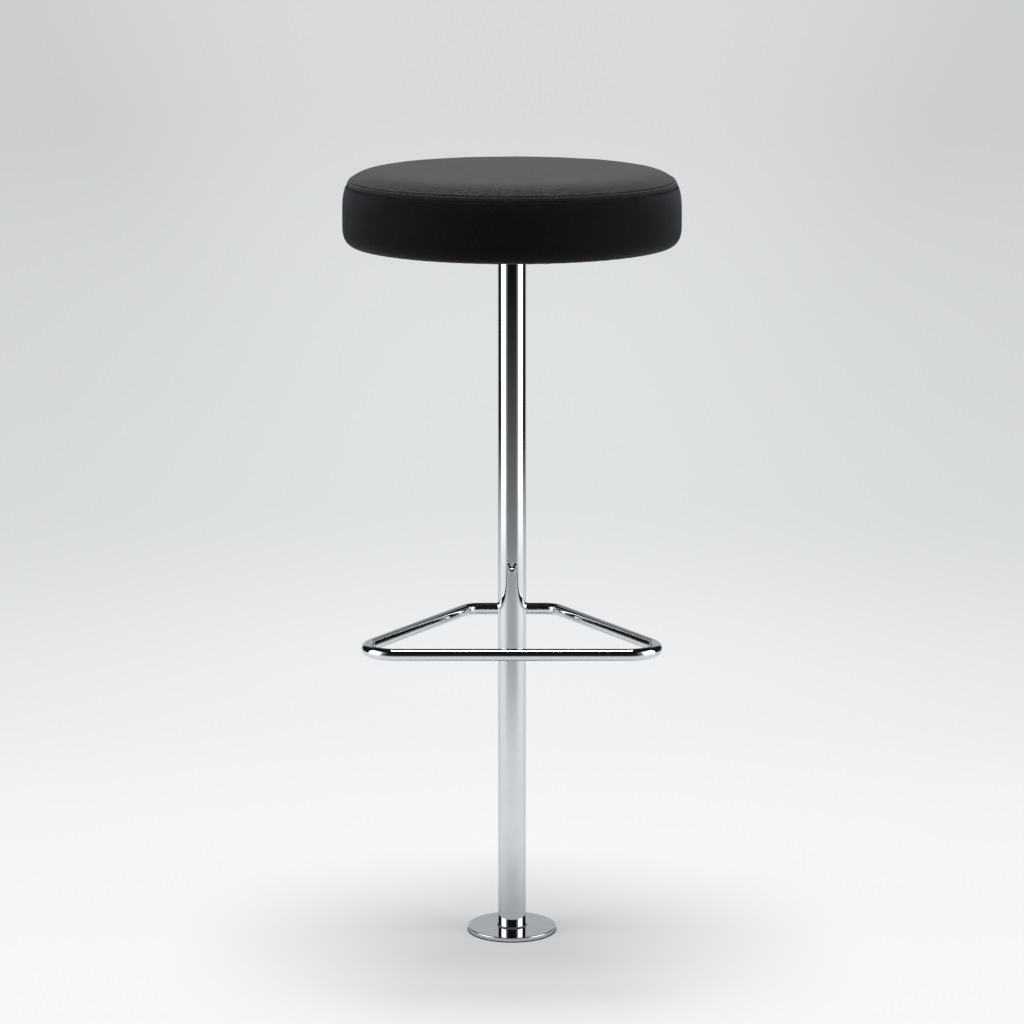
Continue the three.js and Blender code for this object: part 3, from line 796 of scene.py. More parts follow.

# %% [markdown]
# The foot is a pressed steel cover over a floor plate. Seen from a step away it is a flat mirror
# with a small round edge, so the edge's radius matters: it draws the bright line round the disc. A
# bevel modifier could round it, but drawing the arc into the profile keeps the radius exact. The
# cut edge under the skirt isn't plated, and its near-black colour is painted contact shadow, a dark
# line where the foot meets the floor.

# %% Foot cover
COVER_RADIUS = 47.6
COVER_TOP = 5.0
COVER_WALL = 1.2
COVER_EDGE = 1.0
COVER_SIDES = 192
SKIRT_INSET = 0.45
SKIRT_HEIGHT = 0.8
SKIRT_SLOPE = 0.25
HOLE_RADIUS = 15.3
HOLE_EDGE = 0.3


def arc(centre_radius, centre_height, radius, start, end, steps=6):
    """Points of a rounded edge in a profile, from one angle to another in degrees."""
    angles = [math.radians(start + (end - start) * step / steps) for step in range(steps + 1)]
    ways = [(math.cos(angle), math.sin(angle)) for angle in angles]
    return [(centre_radius + radius * out, centre_height + radius * up) for out, up in ways]


skirt = COVER_RADIUS - SKIRT_INSET
inside = COVER_RADIUS - COVER_WALL
under = COVER_TOP - COVER_WALL
skirt_top = SKIRT_HEIGHT + SKIRT_SLOPE
# The rings between the corners only keep the faces short.
profile = (
    [(skirt, 0.0), (skirt, SKIRT_HEIGHT), (COVER_RADIUS, skirt_top), (COVER_RADIUS, 2.0)]
    + arc(COVER_RADIUS - COVER_EDGE, COVER_TOP - COVER_EDGE, COVER_EDGE, 0, 90, 8)
    + [(COVER_RADIUS - 4, COVER_TOP), (30, COVER_TOP), (HOLE_RADIUS + HOLE_EDGE, COVER_TOP)]
    + [(HOLE_RADIUS, COVER_TOP - HOLE_EDGE), (HOLE_RADIUS, under), (inside, under), (inside, 0.0)]
)
# Painted contact shadow: a near-black finish for the cut edge under the skirt.
painted_shadow_edge = marked_finish(
    "cut_edge_painted_shadow",
    (0.020, 0.020, 0.021, 1),
    (0.045, 0.044, 0.043, 1),
    marks=(240.0, 0.5, 0.75, 1500.0),
    relief=(0.3, 0.0001),
    Metallic=0.6,
)
points, faces = turned(profile, COVER_SIDES)
finishes = [foot_chrome, painted_shadow_edge]
foot_cover = make_piece("foot_cover_disc", points, faces, finishes, "post", sharp=30)
# The faces under the skirt take the painted contact shadow.
for face in foot_cover.data.polygons[:COVER_SIDES]:
    face.material_index = 1
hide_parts("foot_cover")

# %% [markdown]
# A thin dark grey rubber ring closes the gap between the cover and the column. It stands a little
# above the cover, and both of its upper edges are round.

# %% Rubber ring
RING_RADIUS = 15.85
RING_OUTER_EDGE = 0.4
RING_INNER_EDGE = 0.3
RING_PLAY = 0.02
RING_LOWERED = 0.2

ring_rubber = marked_finish(
    "ring_rubber",
    (0.13, 0.132, 0.136, 1),
    (0.18, 0.182, 0.186, 1),
    marks=(160.0, 0.55, 0.75, 1500.0),
    relief=(0.3, 0.0001),
    Specular_IOR_Level=0.35,
)
ring_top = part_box("foot_gasket")[1].z / MM - RING_LOWERED
ring_bore = COLUMN_RADIUS + RING_PLAY
outer, inner = RING_RADIUS - RING_OUTER_EDGE, ring_bore + RING_INNER_EDGE
profile = (
    [(ring_bore, COVER_TOP), (RING_RADIUS, COVER_TOP)]
    + arc(outer, ring_top - RING_OUTER_EDGE, RING_OUTER_EDGE, 0, 90)
    + arc(inner, ring_top - RING_INNER_EDGE, RING_INNER_EDGE, 90, 180)
)
foot_ring = make_piece("foot_ring", *turned(profile, 96), [ring_rubber], "post")
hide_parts("foot_gasket")

# %% [markdown]
# The cushion is foam over a round board, in a sewn cover: a top panel and a side band joined by a
# seam just under the top edge. A subdivided cage could be pushed into shape by eye. Formulas can
# be fitted to the outline in the photo instead, one number at a time. The outline has four parts:
# the crown, the seam, the bulging side and the round lower corner, where the band turns under the
# board.

# %% Cushion outline: formulas
SEAT_RADIUS = 177.8
WIDEST_HEIGHT = 768.8
UNDERSIDE = 748.8
FLAT_UNDERSIDE_RADIUS = 162.5
CORNER_FULLNESS = 0.84
TURN_UNDER_RADIUS = 140.5
STITCH_RADIUS = 171.0
STITCH_HEIGHT = 816.6
CROWN_RISE = 12.0
CROWN_FLATNESS = 14
SEAM_DRAW_IN = 6.8
SIDE_FULLNESS = 4.7
CREASE_HEIGHT = 810.7
BOARD_BOTTOM = 750.3
BOARD_TOP = 765.3
BOARD_RADIUS = 160.0


def crown_point(share):
    """The top panel, from the seat's centre at 0 to the stitching at 1."""
    return STITCH_RADIUS * share, STITCH_HEIGHT + CROWN_RISE * (1 - share**CROWN_FLATNESS)


def side_point(height):
    """The side band at a height above its widest line."""
    share = (height - WIDEST_HEIGHT) / (STITCH_HEIGHT - WIDEST_HEIGHT)
    return SEAT_RADIUS - SEAM_DRAW_IN * share**SIDE_FULLNESS, height


def corner_point(angle):
    """The lower corner, from the underside at 0 degrees to the widest line at 90."""
    turn = math.radians(angle)
    out = math.sin(turn) ** CORNER_FULLNESS
    drop = max(math.cos(turn), 0) ** CORNER_FULLNESS
    radius = FLAT_UNDERSIDE_RADIUS + (SEAT_RADIUS - FLAT_UNDERSIDE_RADIUS) * out
    return radius, WIDEST_HEIGHT - (WIDEST_HEIGHT - UNDERSIDE) * drop


crease = side_point(CREASE_HEIGHT)
seam_length = math.hypot(STITCH_RADIUS - crease[0], STITCH_HEIGHT - crease[1])
down = ((crease[0] - STITCH_RADIUS) / seam_length, (crease[1] - STITCH_HEIGHT) / seam_length)


def seam_point(below, proud):
    """A point near the seam: how far below the stitching on the slope, and how far out of it."""
    radius = STITCH_RADIUS + down[0] * below - down[1] * proud
    return radius, STITCH_HEIGHT + down[1] * below + down[0] * proud


print("the seam's slope is", round(seam_length, 2), "mm wide")

# %% [markdown]
# The formulas are read at chosen places, close together where the outline turns quickly. A
# groove for the stitches and a hollow under the seam's ridge are cut between crown and side, and
# the underside goes on round the board, where nobody sees it, to close the cushion.

# %% Cushion outline: points
CROWN_SHARES = [0, 0.04, 0.1, 0.18, 0.26, 0.34, 0.42, 0.5, 0.57, 0.63, 0.68, 0.72, 0.76, 0.79]
CROWN_SHARES += [0.82, 0.845, 0.865, 0.885, 0.9, 0.915, 0.928, 0.94, 0.95, 0.958, 0.966, 0.973]
CROWN_SHARES += [0.979, 0.984]
GROOVE = [(-1.9, -0.02), (-1.5, -0.08), (-1.25, -0.22), (-1.12, -0.5), (-1.02, -1.0), (-0.8, -1.35)]
GROOVE += [(-0.4, -1.4), (-0.15, -1.4)]
UNDER_RIDGE = [(0.4, -1.5), (1.6, -1.8), (3.2, -1.9), (4.7, -1.9), (5.35, -1.6), (5.7, -1.1)]
UNDER_RIDGE += [(6.0, -0.6), (6.4, -0.25), (7.0, -0.06), (7.7, 0.0)]
SIDE_HEIGHTS = [809.6, 808.4, 807, 805.2, 803, 800.5, 797.5, 794, 790, 786, 782, 778, 774, 770.6]
CORNER_STEP = 6
UNDER_RADII = (160, 157, 154, 151, 148, 145, 142.5)
BOARD_GAP = 0.2
BELOW_BOARD = 0.1
TURNED_UP = 0.4

top_part = [crown_point(share) for share in CROWN_SHARES]
groove_part = [seam_point(*place) for place in GROOVE]
under_ridge_part = [seam_point(*place) for place in UNDER_RIDGE]
side_part = [side_point(height) for height in SIDE_HEIGHTS]
corner_part = [corner_point(angle) for angle in range(90, -1, -CORNER_STEP)]
seen_part = top_part + groove_part + under_ridge_part + side_part + corner_part
under_part = [(radius, UNDERSIDE) for radius in UNDER_RADII]
inner_bottom = BOARD_BOTTOM - BELOW_BOARD
inner_top = BOARD_TOP + BOARD_GAP
inner_radius = BOARD_RADIUS + BOARD_GAP
hidden_part = [(TURN_UNDER_RADIUS, UNDERSIDE + TURNED_UP), (TURN_UNDER_RADIUS, inner_bottom)]
hidden_part += [(inner_radius, inner_bottom), (inner_radius, inner_top), (0, inner_top)]
outline = seen_part + under_part + hidden_part
print("cushion outline has", len(outline), "points")

# %% [markdown]
# A sewn cover never follows its formula exactly: the seam pulls unevenly and the cloth between
# evens that out. It could be sculpted, but a cloth simulation finds it by itself. It needs faces
# of one size, so the cushion's plain form, a little smaller than the real one, is remeshed. Its
# underside and seam are held, the seam with small uneven pulls.

# %% Simulating the cover: the form
FORM_INSET = 2.5
FORM_SIDE_HEIGHTS = (816, 811, 806, 798, 788, 778)
FORM_CORNER_ANGLES = (90, 70, 50, 30, 0)
FORM_UNDER_RADII = (120, 60, 0)
FORM_SIDES = 128
EVEN_FACE = 5 * MM
SEAM_PULLS = 46
SEAM_MIDDLE = 814.5
SEAM_HALF_WIDTH = 4.5
SEAM_INNER_RADIUS = 160


def plain_form():
    """The cushion's plain form as an object with even faces, a little smaller than the cushion."""
    form = [(max(radius - FORM_INSET, 0), height - FORM_INSET) for radius, height in top_part]
    side = [side_point(height) for height in FORM_SIDE_HEIGHTS]
    corner = [corner_point(angle) for angle in FORM_CORNER_ANGLES]
    form += [(radius - FORM_INSET, height) for radius, height in side + corner]
    form += [(radius, UNDERSIDE) for radius in FORM_UNDER_RADII]
    mesh = new_mesh("cushion_form", *turned(form, FORM_SIDES, closed=False))
    body = put_in_scene("cushion_form", mesh)
    even = body.modifiers.new("even_faces", "REMESH")
    even.mode = "VOXEL"
    even.voxel_size = EVEN_FACE
    body.data = shown_mesh(body)
    body.modifiers.clear()
    return body


def hold_and_pull(body, pulls):
    """Holds the seam and the underside, and draws the held seam in by uneven pulls in mm."""
    held = body.vertex_groups.new(name="held")
    for vertex in body.data.vertices:
        spot = vertex.co
        radius, height = math.hypot(spot.x, spot.y) / MM, spot.z / MM
        at_seam = radius > SEAM_INNER_RADIUS and abs(height - SEAM_MIDDLE) < SEAM_HALF_WIDTH
        if at_seam:
            turn = (math.atan2(spot.y, spot.x) / (2 * math.pi)) % 1 * SEAM_PULLS
            first, share = int(turn) % SEAM_PULLS, turn % 1
            pull = pulls[first] * (1 - share) + pulls[(first + 1) % SEAM_PULLS] * share
            spot.x -= spot.x / radius * pull
            spot.y -= spot.y / radius * pull
        if at_seam or height < UNDERSIDE + FORM_INSET:
            held.add([vertex.index], 1.0, "REPLACE")


print("the form's faces are", round(EVEN_FACE / MM), "mm wide")

# %% [markdown]
# Pressure now swells the form against what is held, for twenty frames, as foam does under a tight
# cover. No point may move further than 8 mm. A search tree of the result answers how far out its
# surface is in any direction.

# %% Simulating the cover: the pressure
FURTHEST_MOVE = 8 * MM
PRESSURE = 4
FRAMES = 20


def swollen_form():
    """The simulated cushion as a search tree, to measure how far out its surface is."""
    rng = random.Random(14)
    pulls = [rng.uniform(0.0, 1.0) for _ in range(SEAM_PULLS)]
    body = plain_form()
    hold_and_pull(body, pulls)
    start = [vertex.co.copy() for vertex in body.data.vertices]
    cloth = body.modifiers.new("cover_cloth", "CLOTH")
    cloth.settings.vertex_group_mass = "held"
    cloth.settings.use_pressure = True
    cloth.settings.uniform_pressure_force = PRESSURE
    cloth.settings.effector_weights.gravity = 0
    cloth.settings.quality = 6
    cloth.point_cache.frame_start, cloth.point_cache.frame_end = 1, FRAMES
    for frame_number in range(1, FRAMES + 1):
        bpy.context.scene.frame_set(frame_number)
    swollen = shown_mesh(body)
    moved = []
    for vertex, before in zip(swollen.vertices, start):
        move = vertex.co - before
        if move.length > FURTHEST_MOVE:
            vertex.co = before + move.normalized() * FURTHEST_MOVE
        moved.append(min(move.length, FURTHEST_MOVE))
    spots = [vertex.co for vertex in swollen.vertices]
    found = BVHTree.FromPolygons(spots, [face.vertices for face in swollen.polygons])
    bpy.context.scene.frame_set(1)
    bpy.data.objects.remove(body)
    print("simulated", len(moved), "points, which moved", round(max(moved) / MM, 2), "mm at most")
    return found


simulated = swollen_form()

# %% [markdown]
# The simulated surface is too coarse for a seam, so the cushion itself is a fine grid: the outline
# at 360 angles. Every point is moved along its normal by as much as the simulated surface differs
# there from its own average, which keeps the measured outline. The differences are smoothed,
# because a single hard bump would read as a dent.

# %% Cushion grid: the simulated unevenness
TURNS = 360
UNEVEN_LIMIT = 1.0
UNEVEN_SHARE = 0.4
SMOOTHING_PASSES = 14
RAY_START = 0.012
RAY_LENGTH = 0.03

radii = np.array([point[0] for point in outline])
levels = np.array([point[1] for point in outline])
step_r, step_z = np.gradient(radii), np.gradient(levels)
lengths = np.hypot(step_r, step_z) + 1e-9
normal_r, normal_z = -step_z / lengths, step_r / lengths
angles = np.arange(TURNS) * 2 * math.pi / TURNS


def measured_row(row):
    """How far the simulated surface stands out along one ring of the grid, less its average."""
    found = np.full(TURNS, np.nan)
    for step, angle in enumerate(angles):
        cosine, sine = math.cos(angle), math.sin(angle)
        inward = Vector((-normal_r[row] * cosine, -normal_r[row] * sine, -normal_z[row]))
        spot = Vector((radii[row] * cosine, radii[row] * sine, levels[row])) * MM
        hit = simulated.ray_cast(spot - inward * RAY_START, inward, RAY_LENGTH)
        if hit[0] is not None:
            found[step] = (RAY_START - hit[3]) / MM
    average = 0.0 if np.isnan(found).all() else np.nanmean(found)
    return np.nan_to_num(found - average)


uneven = np.zeros((len(outline), TURNS))
if simulated is not None:
    for row in range(len(seen_part)):
        uneven[row] = measured_row(row)
uneven = np.clip(uneven, -UNEVEN_LIMIT, UNEVEN_LIMIT) * UNEVEN_SHARE
for _ in range(SMOOTHING_PASSES):
    uneven = (np.roll(uneven, 1, 1) + 2 * uneven + np.roll(uneven, -1, 1)) / 4
    uneven[1:-1] = (uneven[:-2] + 2 * uneven[1:-1] + uneven[2:]) / 4
lowest, highest = float(uneven.min()), float(uneven.max())
print("simulated unevenness:", round(lowest, 2), "to", round(highest, 2), "mm")

# %% [markdown]
# The simulation is too coarse for two small things, so they come after it as waves that fade away
# from where they start: the puckers along the seam, a sum of waves of nine lengths, and the
# pleats where the band is gathered under the board.

# %% Cushion grid: puckers, pleats and points
PLEATS = 64
PLEAT_DEPTH = 0.45
PLEATS_FROM = 141
PLEATS_TO = 168
PLEATS_FADE = 10
PLEATS_BELOW = 752
PUCKER_WAVES = 9
PUCKER_COUNTS = (30, 95)
PUCKER_DEPTH = 0.06
PUCKER_REACH = 9.0
PUCKERS_FROM = 150
PUCKERS_ABOVE = 780

rng = random.Random(5)
wave_sets = []
for _ in range(PUCKER_WAVES):
    count = rng.randint(*PUCKER_COUNTS)
    wave_sets.append((count, rng.uniform(0, 2 * math.pi), rng.uniform(0.4, 1.0)))
pucker = sum(size * np.sin(count * angles + shift) for count, shift, size in wave_sets) / 4
pleat = np.sin(PLEATS * angles + 1.3 * np.sin(3 * angles) + 0.8 * np.sin(7 * angles + 1))
from_stitches = np.hypot(radii - STITCH_RADIUS, levels - STITCH_HEIGHT)
seam_distance = np.minimum(abs(levels - CREASE_HEIGHT), from_stitches)
near_top_edge = (radii > PUCKERS_FROM) & (levels > PUCKERS_ABOVE)
under_board = (radii > PLEATS_FROM) & (levels < PLEATS_BELOW)
pucker_share = np.exp(-((seam_distance / PUCKER_REACH) ** 2)) * near_top_edge
pleat_share = np.clip((PLEATS_TO - radii) / PLEATS_FADE, 0, 1) * under_board
offset = uneven + PUCKER_DEPTH * pucker_share[:, None] * pucker[None]
offset += PLEAT_DEPTH * pleat_share[:, None] * (pleat[None] - 1)
offset[len(seen_part) + len(under_part) :] = 0

points, rows = [], []
for row, (radius, height) in enumerate(outline):
    start, count = len(points), TURNS if radius > 1e-6 else 1
    for step in range(count):
        bulge = offset[row, step] if count > 1 else 0.0
        out, rise = radius + normal_r[row] * bulge, height + normal_z[row] * bulge
        points.append(round_point(out, angles[step], rise))
    rows.append([start + step % count for step in range(TURNS)])
faces = skin(rows)
print("cushion grid has", len(points), "points")

# %% [markdown]
# The cover is a fine charcoal cloth. Seen straight on it is nearly black, and seen along the
# surface it turns pale, because light from behind catches the tips of its fibres. Real fibres as
# hair would take far too long to render, and sheen does the same for a surface. The top panel's
# yarns run straight across it, and the band's run round the seat, so each panel works out its own
# flat position and hands it to the weave group. The four parts are copies of one cloth whose colour
# and sheen differ as painted light and shade: the top panel is a lit copy, the fold of the seam a
# paler copy that paints a highlight line, and the band and the ridge's side darker, shaded copies.

# %% Finish: charcoal cloth
DARK_RATIOS = (0.2, 0.2, 0.23)
YARN_RATIOS = (1.0, 1.04, 1.2)
FLECK_RATIOS = (1.0, 1.02, 1.12)
CLOTH_RELIEF = (0.55, 0.00022)
YARN_PITCH = 0.00062
TOP_TINT = (0.935, 0.95, 0.98, 1)
BAND_TINT = (0.78, 0.84, 1.0, 1)


def times(amount, ratios):
    """A colour from one amount and its share in red, green and blue."""
    return (*(ratio * amount for ratio in ratios), 1)


def charcoal_cloth(name, wrapped, yarn, fleck, nap, shine, sheen, tint):
    """The cover's cloth, laid flat for the top panel or wrapped round for the side band."""
    constants = {"Specular_IOR_Level": shine, "Sheen_Weight": sheen, "Sheen_Tint": tint}
    material, tree, shader = start_finish(name, Sheen_Roughness=0.3, **constants)
    flat = add(tree, "ShaderNodeTexCoord").outputs["Object"]
    if wrapped:
        x, y, z = split(tree, flat)
        run = calc(tree, "MULTIPLY", calc(tree, "ARCTAN2", y, x), SEAT_RADIUS * MM)
        flat = add(tree, "ShaderNodeCombineXYZ", {"X": run, "Y": z, "Z": 0.0}).outputs[0]
    panel = {"Panel Position": flat, "Yarn Pitch": YARN_PITCH, "Fibre Scale": 1300.0}
    weave = place_group(tree, weave_group, {**panel, "Nap Relief": nap})
    yarn_colours = times(yarn, DARK_RATIOS), times(yarn, YARN_RATIOS)
    fleck_colours = times(fleck, DARK_RATIOS), times(fleck, FLECK_RATIOS)
    yarns = blend_colour(tree, weave["Shade"], *yarn_colours)
    colour = blend_colour(tree, 0.5, yarns, blend_colour(tree, weave["Mottle"], *fleck_colours))
    rough = ramp(tree, weave["Shade"], 0.3, 1.1, 0.88, 0.66)
    cover_shader(tree, shader, colour, weave["Height"], CLOTH_RELIEF, Roughness=rough)
    return material


# Lit and shaded copies of one cloth: the top panel paler, as painted light, and the band and ridge
# darker, as painted shade.
top_cloth_painted_light = charcoal_cloth(
    "seat_top_painted_light_cloth", False, yarn=0.012, fleck=0.115, nap=1.8, shine=0.16, sheen=0.36, tint=TOP_TINT
)
# Painted highlight: a paler copy with more sheen draws the bright line along the seam's fold.
fold_cloth_painted_highlight = charcoal_cloth(
    "seam_fold_painted_highlight_cloth", False, yarn=0.02, fleck=0.12, nap=0.6, shine=0.16, sheen=0.70, tint=TOP_TINT
)
band_cloth_painted_shade = charcoal_cloth(
    "seat_band_painted_shade_cloth", True, yarn=0.002, fleck=0.008, nap=0.5, shine=0.10, sheen=0.182, tint=BAND_TINT
)
ridge_cloth_painted_shade = charcoal_cloth(
    "seam_ridge_painted_shade_cloth", True, yarn=0.006, fleck=0.03, nap=0.5, shine=0.14, sheen=0.2, tint=TOP_TINT
)
print("cloths:", top_cloth_painted_light.name, fold_cloth_painted_highlight.name, band_cloth_painted_shade.name, ridge_cloth_painted_shade.name)

# %% [markdown]
# Now the grid becomes the cushion. Its faces above the seam take the top panel's cloth, and all
# below it the band's. The three CAD solids that it stands for are hidden. The export is told that it
# is padded, and which three solids it stands for.

# %% Cushion
ROWS_OF_GROOVE_ON_TOP = 3

cushion = make_piece("seat_cushion", points, faces, [top_cloth_painted_light, band_cloth_painted_shade], "seat", sharp=75)
seam_row = len(top_part) + ROWS_OF_GROOVE_ON_TOP
below_seam = [int(row >= seam_row) for row in range(len(rows) - 1) for _ in range(TURNS)]
cushion.data.polygons.foreach_set("material_index", below_seam)
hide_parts("foam_pad", "cover_top", "cover_band")
print("top panel has", below_seam.count(0), "faces, the band", below_seam.count(1))

# %% [markdown]
# Between the panels a narrow ridge stands up: the folded seam allowance. A displaced line in the
# cushion's own grid would be too coarse for it, so it is a flattened ring of its own that follows
# the seam, slightly uneven, as the puckers are. The fold on its inner side has its own paler cloth,
# which paints a highlight line along it, and the ridge's side a darker one, painted shade.

# %% Seam ridge
RIDGE_SECTION = [(-0.15, -0.9), (-0.05, -0.2), (0.15, 0.18), (0.45, 0.38), (0.9, 0.47), (1.5, 0.47)]
RIDGE_SECTION += [(2.3, 0.4), (3.2, 0.24), (4.0, 0.03), (4.65, -0.25), (5.0, -0.6), (4.95, -1.15)]
RIDGE_SECTION += [(4.1, -1.65), (2.0, -1.7), (0.3, -1.35)]
FOLD_FACES = 4

points = []
for step, angle in enumerate(angles):
    for below, proud in RIDGE_SECTION:
        radius, height = seam_point(below, proud + PUCKER_DEPTH * pucker[step])
        points.append(round_point(radius, angle, height))
faces = skin(number_rings(0, TURNS, len(RIDGE_SECTION)), closed=True)
finishes = [ridge_cloth_painted_shade, fold_cloth_painted_highlight]
seam_ridge = make_piece("seat_seam_ridge", points, faces, finishes, "seat", sharp=80)
on_fold = [int(place < FOLD_FACES) for _ in angles for place in range(len(RIDGE_SECTION))]
seam_ridge.data.polygons.foreach_set("material_index", on_fold)
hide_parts("seam_welt")

# %% [markdown]
# The ridge is held by a row of stitches on the top panel's side. Each is a short length of thread,
# bowed down and thinner at its ends, where it goes into the cloth. Copies along a curve would do,
# but the stitches lie on the slope beside the seam, and listing them by their angle keeps them
# there.

# %% Stitching
STITCHES = 300
STITCH_HALF_TURN = 0.42 * 2 * math.pi / STITCHES
STITCH_PLACE = (-0.62, -0.75)
STITCH_SINK = 0.38
STITCH_RINGS = 5
THREAD_RADIUS = 0.26
THREAD_SIDES = 6

seam_thread, tree, shader = start_finish(
    "seam_thread", Roughness=0.5, Specular_IOR_Level=0.45, Sheen_Weight=0.15
)
twist = noise(tree, add(tree, "ShaderNodeTexCoord").outputs["Object"], 2200.0)["Fac"]
colour = blend_colour(tree, twist, (0.004, 0.004, 0.005, 1), (0.014, 0.014, 0.016, 1))
cover_shader(tree, shader, colour, twist, (0.5, 0.0001))

points, faces = [], []
for stitch in range(STITCHES):
    middle = 2 * math.pi * stitch / STITCHES
    faces += skin(number_rings(len(points), STITCH_RINGS, THREAD_SIDES), capped=True)
    for ring in range(STITCH_RINGS):
        share = ring / (STITCH_RINGS - 1) * 2 - 1
        radius, height = seam_point(STITCH_PLACE[0], STITCH_PLACE[1] - STITCH_SINK * share**2)
        thin = THREAD_RADIUS * (1 - 0.35 * share**4)
        for side in range(THREAD_SIDES):
            turn = 2 * math.pi * side / THREAD_SIDES
            out, rise = radius + thin * math.cos(turn), height + thin * math.sin(turn)
            points.append(round_point(out, middle + STITCH_HALF_TURN * share, rise))
stitching = make_piece("seat_seam_stitching", points, faces, [seam_thread], "seat", sharp=80)
print("stitches are", round(2 * math.pi * STITCH_RADIUS / STITCHES, 2), "mm apart")

# %% [markdown]
# Under the board a thin black lining hides the raw edge of the cover. It is spun cloth, stapled
# round its outer edge and drawn in round the seat plate, so it sags a little between the staples.
# A second simulation could drape it, but a sheet this taut moves so little that formulas for the
# sag and for the pull of each staple give the same shape. Its two skins are one closed section,
# carried round the seat.

# %% Lining
LINING_TOP = 748.5
LINING_GAP = 0.05
LINING_THICKNESS = 0.6
LINING_INNER = 77.0
LINING_OUTER = 154.5
LINING_TURNS = 240
LINING_STEPS = 14
SAG = 1.1
SAG_ENDS = 0.92
SAG_AT_STAPLES = 0.35
CREASING = 0.12
CREASES = 17
CREASE_SLANT = 6
STAPLE_RADIUS = 148.0
STAPLE_REACH = 8
STAPLES = 30


def lining_point(angle, step, skin_number):
    """A point of the lining's upper skin, number 0, or of its lower one, number 1."""
    share = step / LINING_STEPS
    radius = LINING_INNER + (LINING_OUTER - LINING_INNER) * share
    between = 0.5 - 0.5 * math.cos(STAPLES * angle)
    sag = SAG * math.sin(math.pi * min(share / SAG_ENDS, 1)) ** 2
    from_staples = (radius - STAPLE_RADIUS) / STAPLE_REACH
    sag += SAG_AT_STAPLES * between * math.exp(-(from_staples**2))
    creased = math.sin(CREASES * angle + CREASE_SLANT * share)
    sag += CREASING * creased * math.sin(math.pi * share)
    height = LINING_TOP - LINING_GAP - sag - skin_number * LINING_THICKNESS
    return round_point(radius, angle, height)


lining_cloth, tree, shader = start_finish("lining_cloth", Specular_IOR_Level=0.25, Sheen_Weight=0.1)
where = add(tree, "ShaderNodeTexCoord").outputs["Object"]
panel = {"Panel Position": where, "Yarn Pitch": 0.0021, "Fibre Scale": 2400.0}
weave = place_group(tree, weave_group, panel)
colour = blend_colour(tree, weave["Shade"], (0.004, 0.004, 0.0045, 1), (0.014, 0.014, 0.015, 1))
rough = ramp(tree, weave["Mottle"], 0.0, 1.0, 0.95, 0.8)
cover_shader(tree, shader, colour, weave["Height"], (0.4, 0.0002), Roughness=rough)

outward = list(range(LINING_STEPS + 1))
section = [(step, 0) for step in outward] + [(step, 1) for step in reversed(outward)]
turns = [2 * math.pi * step / LINING_TURNS for step in range(LINING_TURNS)]
points = [lining_point(angle, *place) for angle in turns for place in section]
faces = skin(number_rings(0, LINING_TURNS, len(section)), closed=True)
lining = make_piece("seat_lining", points, faces, [lining_cloth], "seat", sharp=60)
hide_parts("dust_cover")

# %% [markdown]
# The pieces that the CAD model already has in their true shape only need a finish: turned steel,
# zinc plate, black powder coat and natural nylon here, and birch plywood in the next step. All of
# them are assigned to the CAD objects' own material slots, and their meshes stay untouched.

# %% Finishes for the CAD pieces: metal, coat and nylon
def ringed_steel(name, dark, light, rough_low, rough_high):
    """Metal with fine turning rings and a few handling marks."""
    material, tree, shader = start_finish(name, Metallic=1.0)
    rings = place_group(tree, rings_group, {"Ring Scale": 1400.0})
    marks = (60.0, rough_low, rough_high, 900.0)
    worn = place_group(tree, marks_group, dict(zip(MARK_INPUTS, marks)))
    colour = blend_colour(tree, rings["Shade"], dark, light)
    cover_shader(tree, shader, colour, rings["Height"], (0.3, 0.00005), Roughness=worn["Roughness"])
    return material


turned_steel = ringed_steel(
    "turned_steel", (0.40, 0.41, 0.42, 1), (0.56, 0.57, 0.58, 1), rough_low=0.24, rough_high=0.42
)
zinc_plate = ringed_steel(
    "zinc_plate", (0.58, 0.59, 0.57, 1), (0.70, 0.71, 0.69, 1), rough_low=0.28, rough_high=0.45
)
black_coat = marked_finish(
    "black_coat",
    (0.018, 0.018, 0.02, 1),
    (0.032, 0.032, 0.034, 1),
    marks=(90.0, 0.38, 0.55, 1200.0),
    relief=(0.35, 0.00012),
    Specular_IOR_Level=0.45,
)
bush_nylon = marked_finish(
    "bush_nylon",
    (0.72, 0.69, 0.61, 1),
    (0.78, 0.75, 0.68, 1),
    marks=(120.0, 0.42, 0.55, 1200.0),
    relief=(0.35, 0.00004),
    Specular_IOR_Level=0.45,
)
print("finishes:", turned_steel.name, zinc_plate.name, black_coat.name, bush_nylon.name)

# %% [markdown]
# Birch plywood shows long grain on its faces and a stripe for each ply on its edge. The grain is
# a noise drawn out along the board, and the stripes are a sine of the height, one for each 3 mm.

# %% Finish: plywood, and where each finish goes
PLY_PAIR = 0.003

board_ply, tree, shader = start_finish("board_ply", Specular_IOR_Level=0.3)
where = add(tree, "ShaderNodeTexCoord").outputs["Object"]
grain = noise(tree, stretched(tree, where, (1.0, 0.06, 1.0)), 220.0, 5.0, Distortion=0.4)["Fac"]
light_grain = ramp(tree, grain, 0.35, 0.65)
wood = blend_colour(tree, light_grain, (0.52, 0.36, 0.20, 1), (0.68, 0.51, 0.31, 1))
plies = calc(tree, "SINE", calc(tree, "MULTIPLY", split(tree, where)[2], 2 * math.pi / PLY_PAIR))
glue_line = ramp(tree, plies, 0.55, 0.95, 0.0, 0.35)
colour = blend_colour(tree, glue_line, wood, (0.30, 0.19, 0.10, 1))
rough = ramp(tree, grain, 0.3, 0.7, 0.72, 0.55)
cover_shader(tree, shader, colour, grain, (0.3, 0.0002), Roughness=rough)

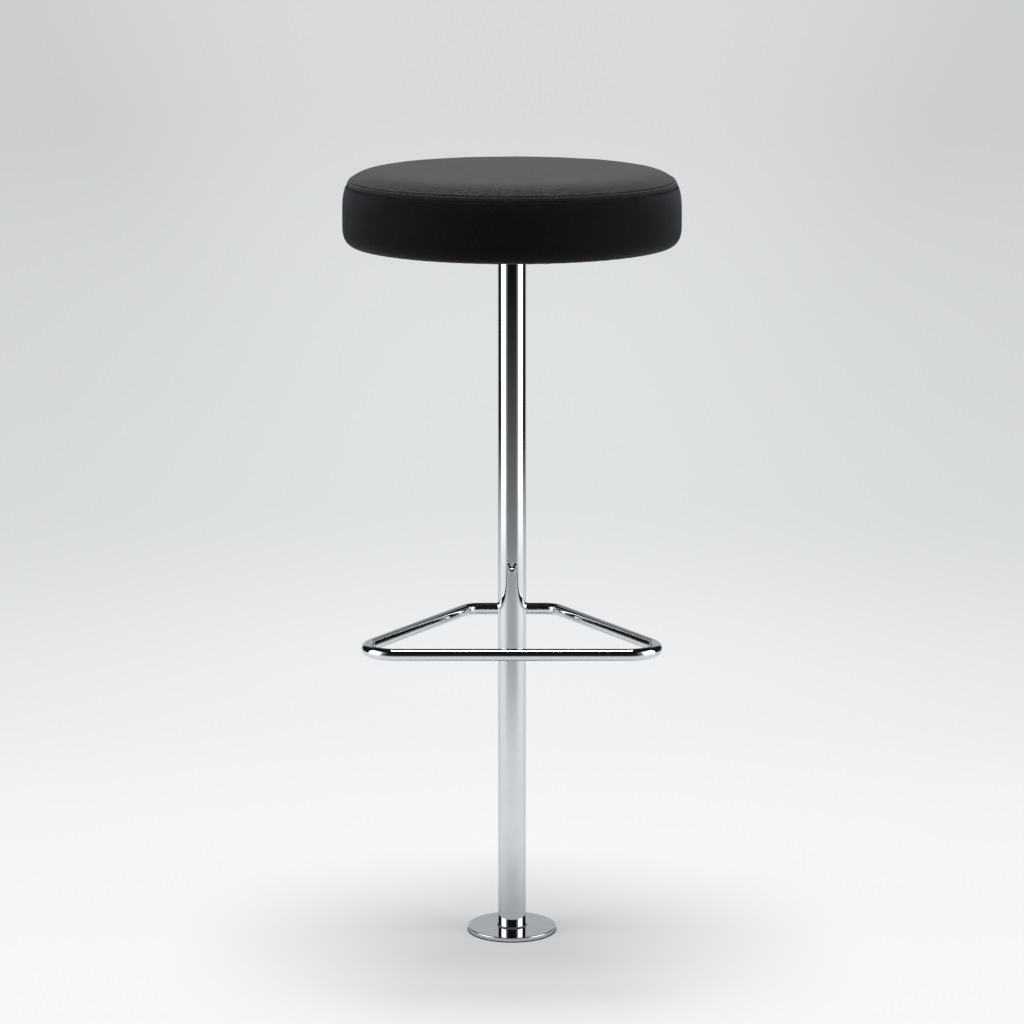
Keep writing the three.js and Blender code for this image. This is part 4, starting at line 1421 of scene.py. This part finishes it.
finish_of = {
    turned_steel: ["floor_plate", "column_spigot", "thrust_washer"]
    + ["pivot_spindle", "retaining_ring"],
    zinc_plate: ["bearing_housing", "retaining_washer"]
    + [f"seat_bolt_{number}" for number in range(1, 5)]
    + [f"tee_nut_{number}" for number in range(1, 5)],
    black_coat: ["seat_plate", "set_screw_1", "set_screw_2"],
    bush_nylon: ["upper_bush", "lower_bush"],
    board_ply: ["seat_board"],
}
for material, names in finish_of.items():
    for name in names:
        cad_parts[name].material_slots[0].material = material
    print(material.name, "on", len(names), "CAD pieces")

# %% [markdown]
# The staples that hold the lining are flat wire, bent up into cloth and board at both ends. Each
# is a rectangle carried along the bent line, as the footrest's circle was. Nobody staples in
# perfect line, so each leans a little its own way.

# %% Staples
STAPLE_END = [(-5.2, 1.6), (-5.2, 0.35), (-5.0, 0.08), (-4.7, 0)]
STAPLE_LINE = STAPLE_END + [(-along, rise) for along, rise in reversed(STAPLE_END)]
STAPLE_WIRE = ((-0.5, -0.25), (0.5, -0.25), (0.5, 0.25), (-0.5, 0.25))
STAPLE_DROP = 0.28
STAPLE_LEAN = 0.25

points, faces = [], []
staple_height = LINING_TOP - LINING_GAP - LINING_THICKNESS - STAPLE_DROP
for staple in range(STAPLES):
    faces += skin(number_rings(len(points), len(STAPLE_LINE), len(STAPLE_WIRE)), capped=True)
    middle = 2 * math.pi * staple / STAPLES
    centre = Vector((STAPLE_RADIUS * math.cos(middle), STAPLE_RADIUS * math.sin(middle), 0))
    centre.z = staple_height
    lean = middle + math.pi / 2 + STAPLE_LEAN * math.sin(5 * middle)
    run = Vector((math.cos(lean), math.sin(lean), 0))
    out = Vector((-math.sin(lean), math.cos(lean), 0))
    for place, (along, rise) in enumerate(STAPLE_LINE):
        before = Vector(STAPLE_LINE[max(place - 1, 0)])
        after = Vector(STAPLE_LINE[min(place + 1, len(STAPLE_LINE) - 1)])
        way = (after - before).normalized()
        for wide, thick in STAPLE_WIRE:
            up = Vector((0, 0, rise + way.x * thick))
            points.append(tuple((centre + run * (along - way.y * thick) + out * wide + up) * MM))
staples = make_piece("lining_staples", points, faces, [zinc_plate], "seat", sharp=50)
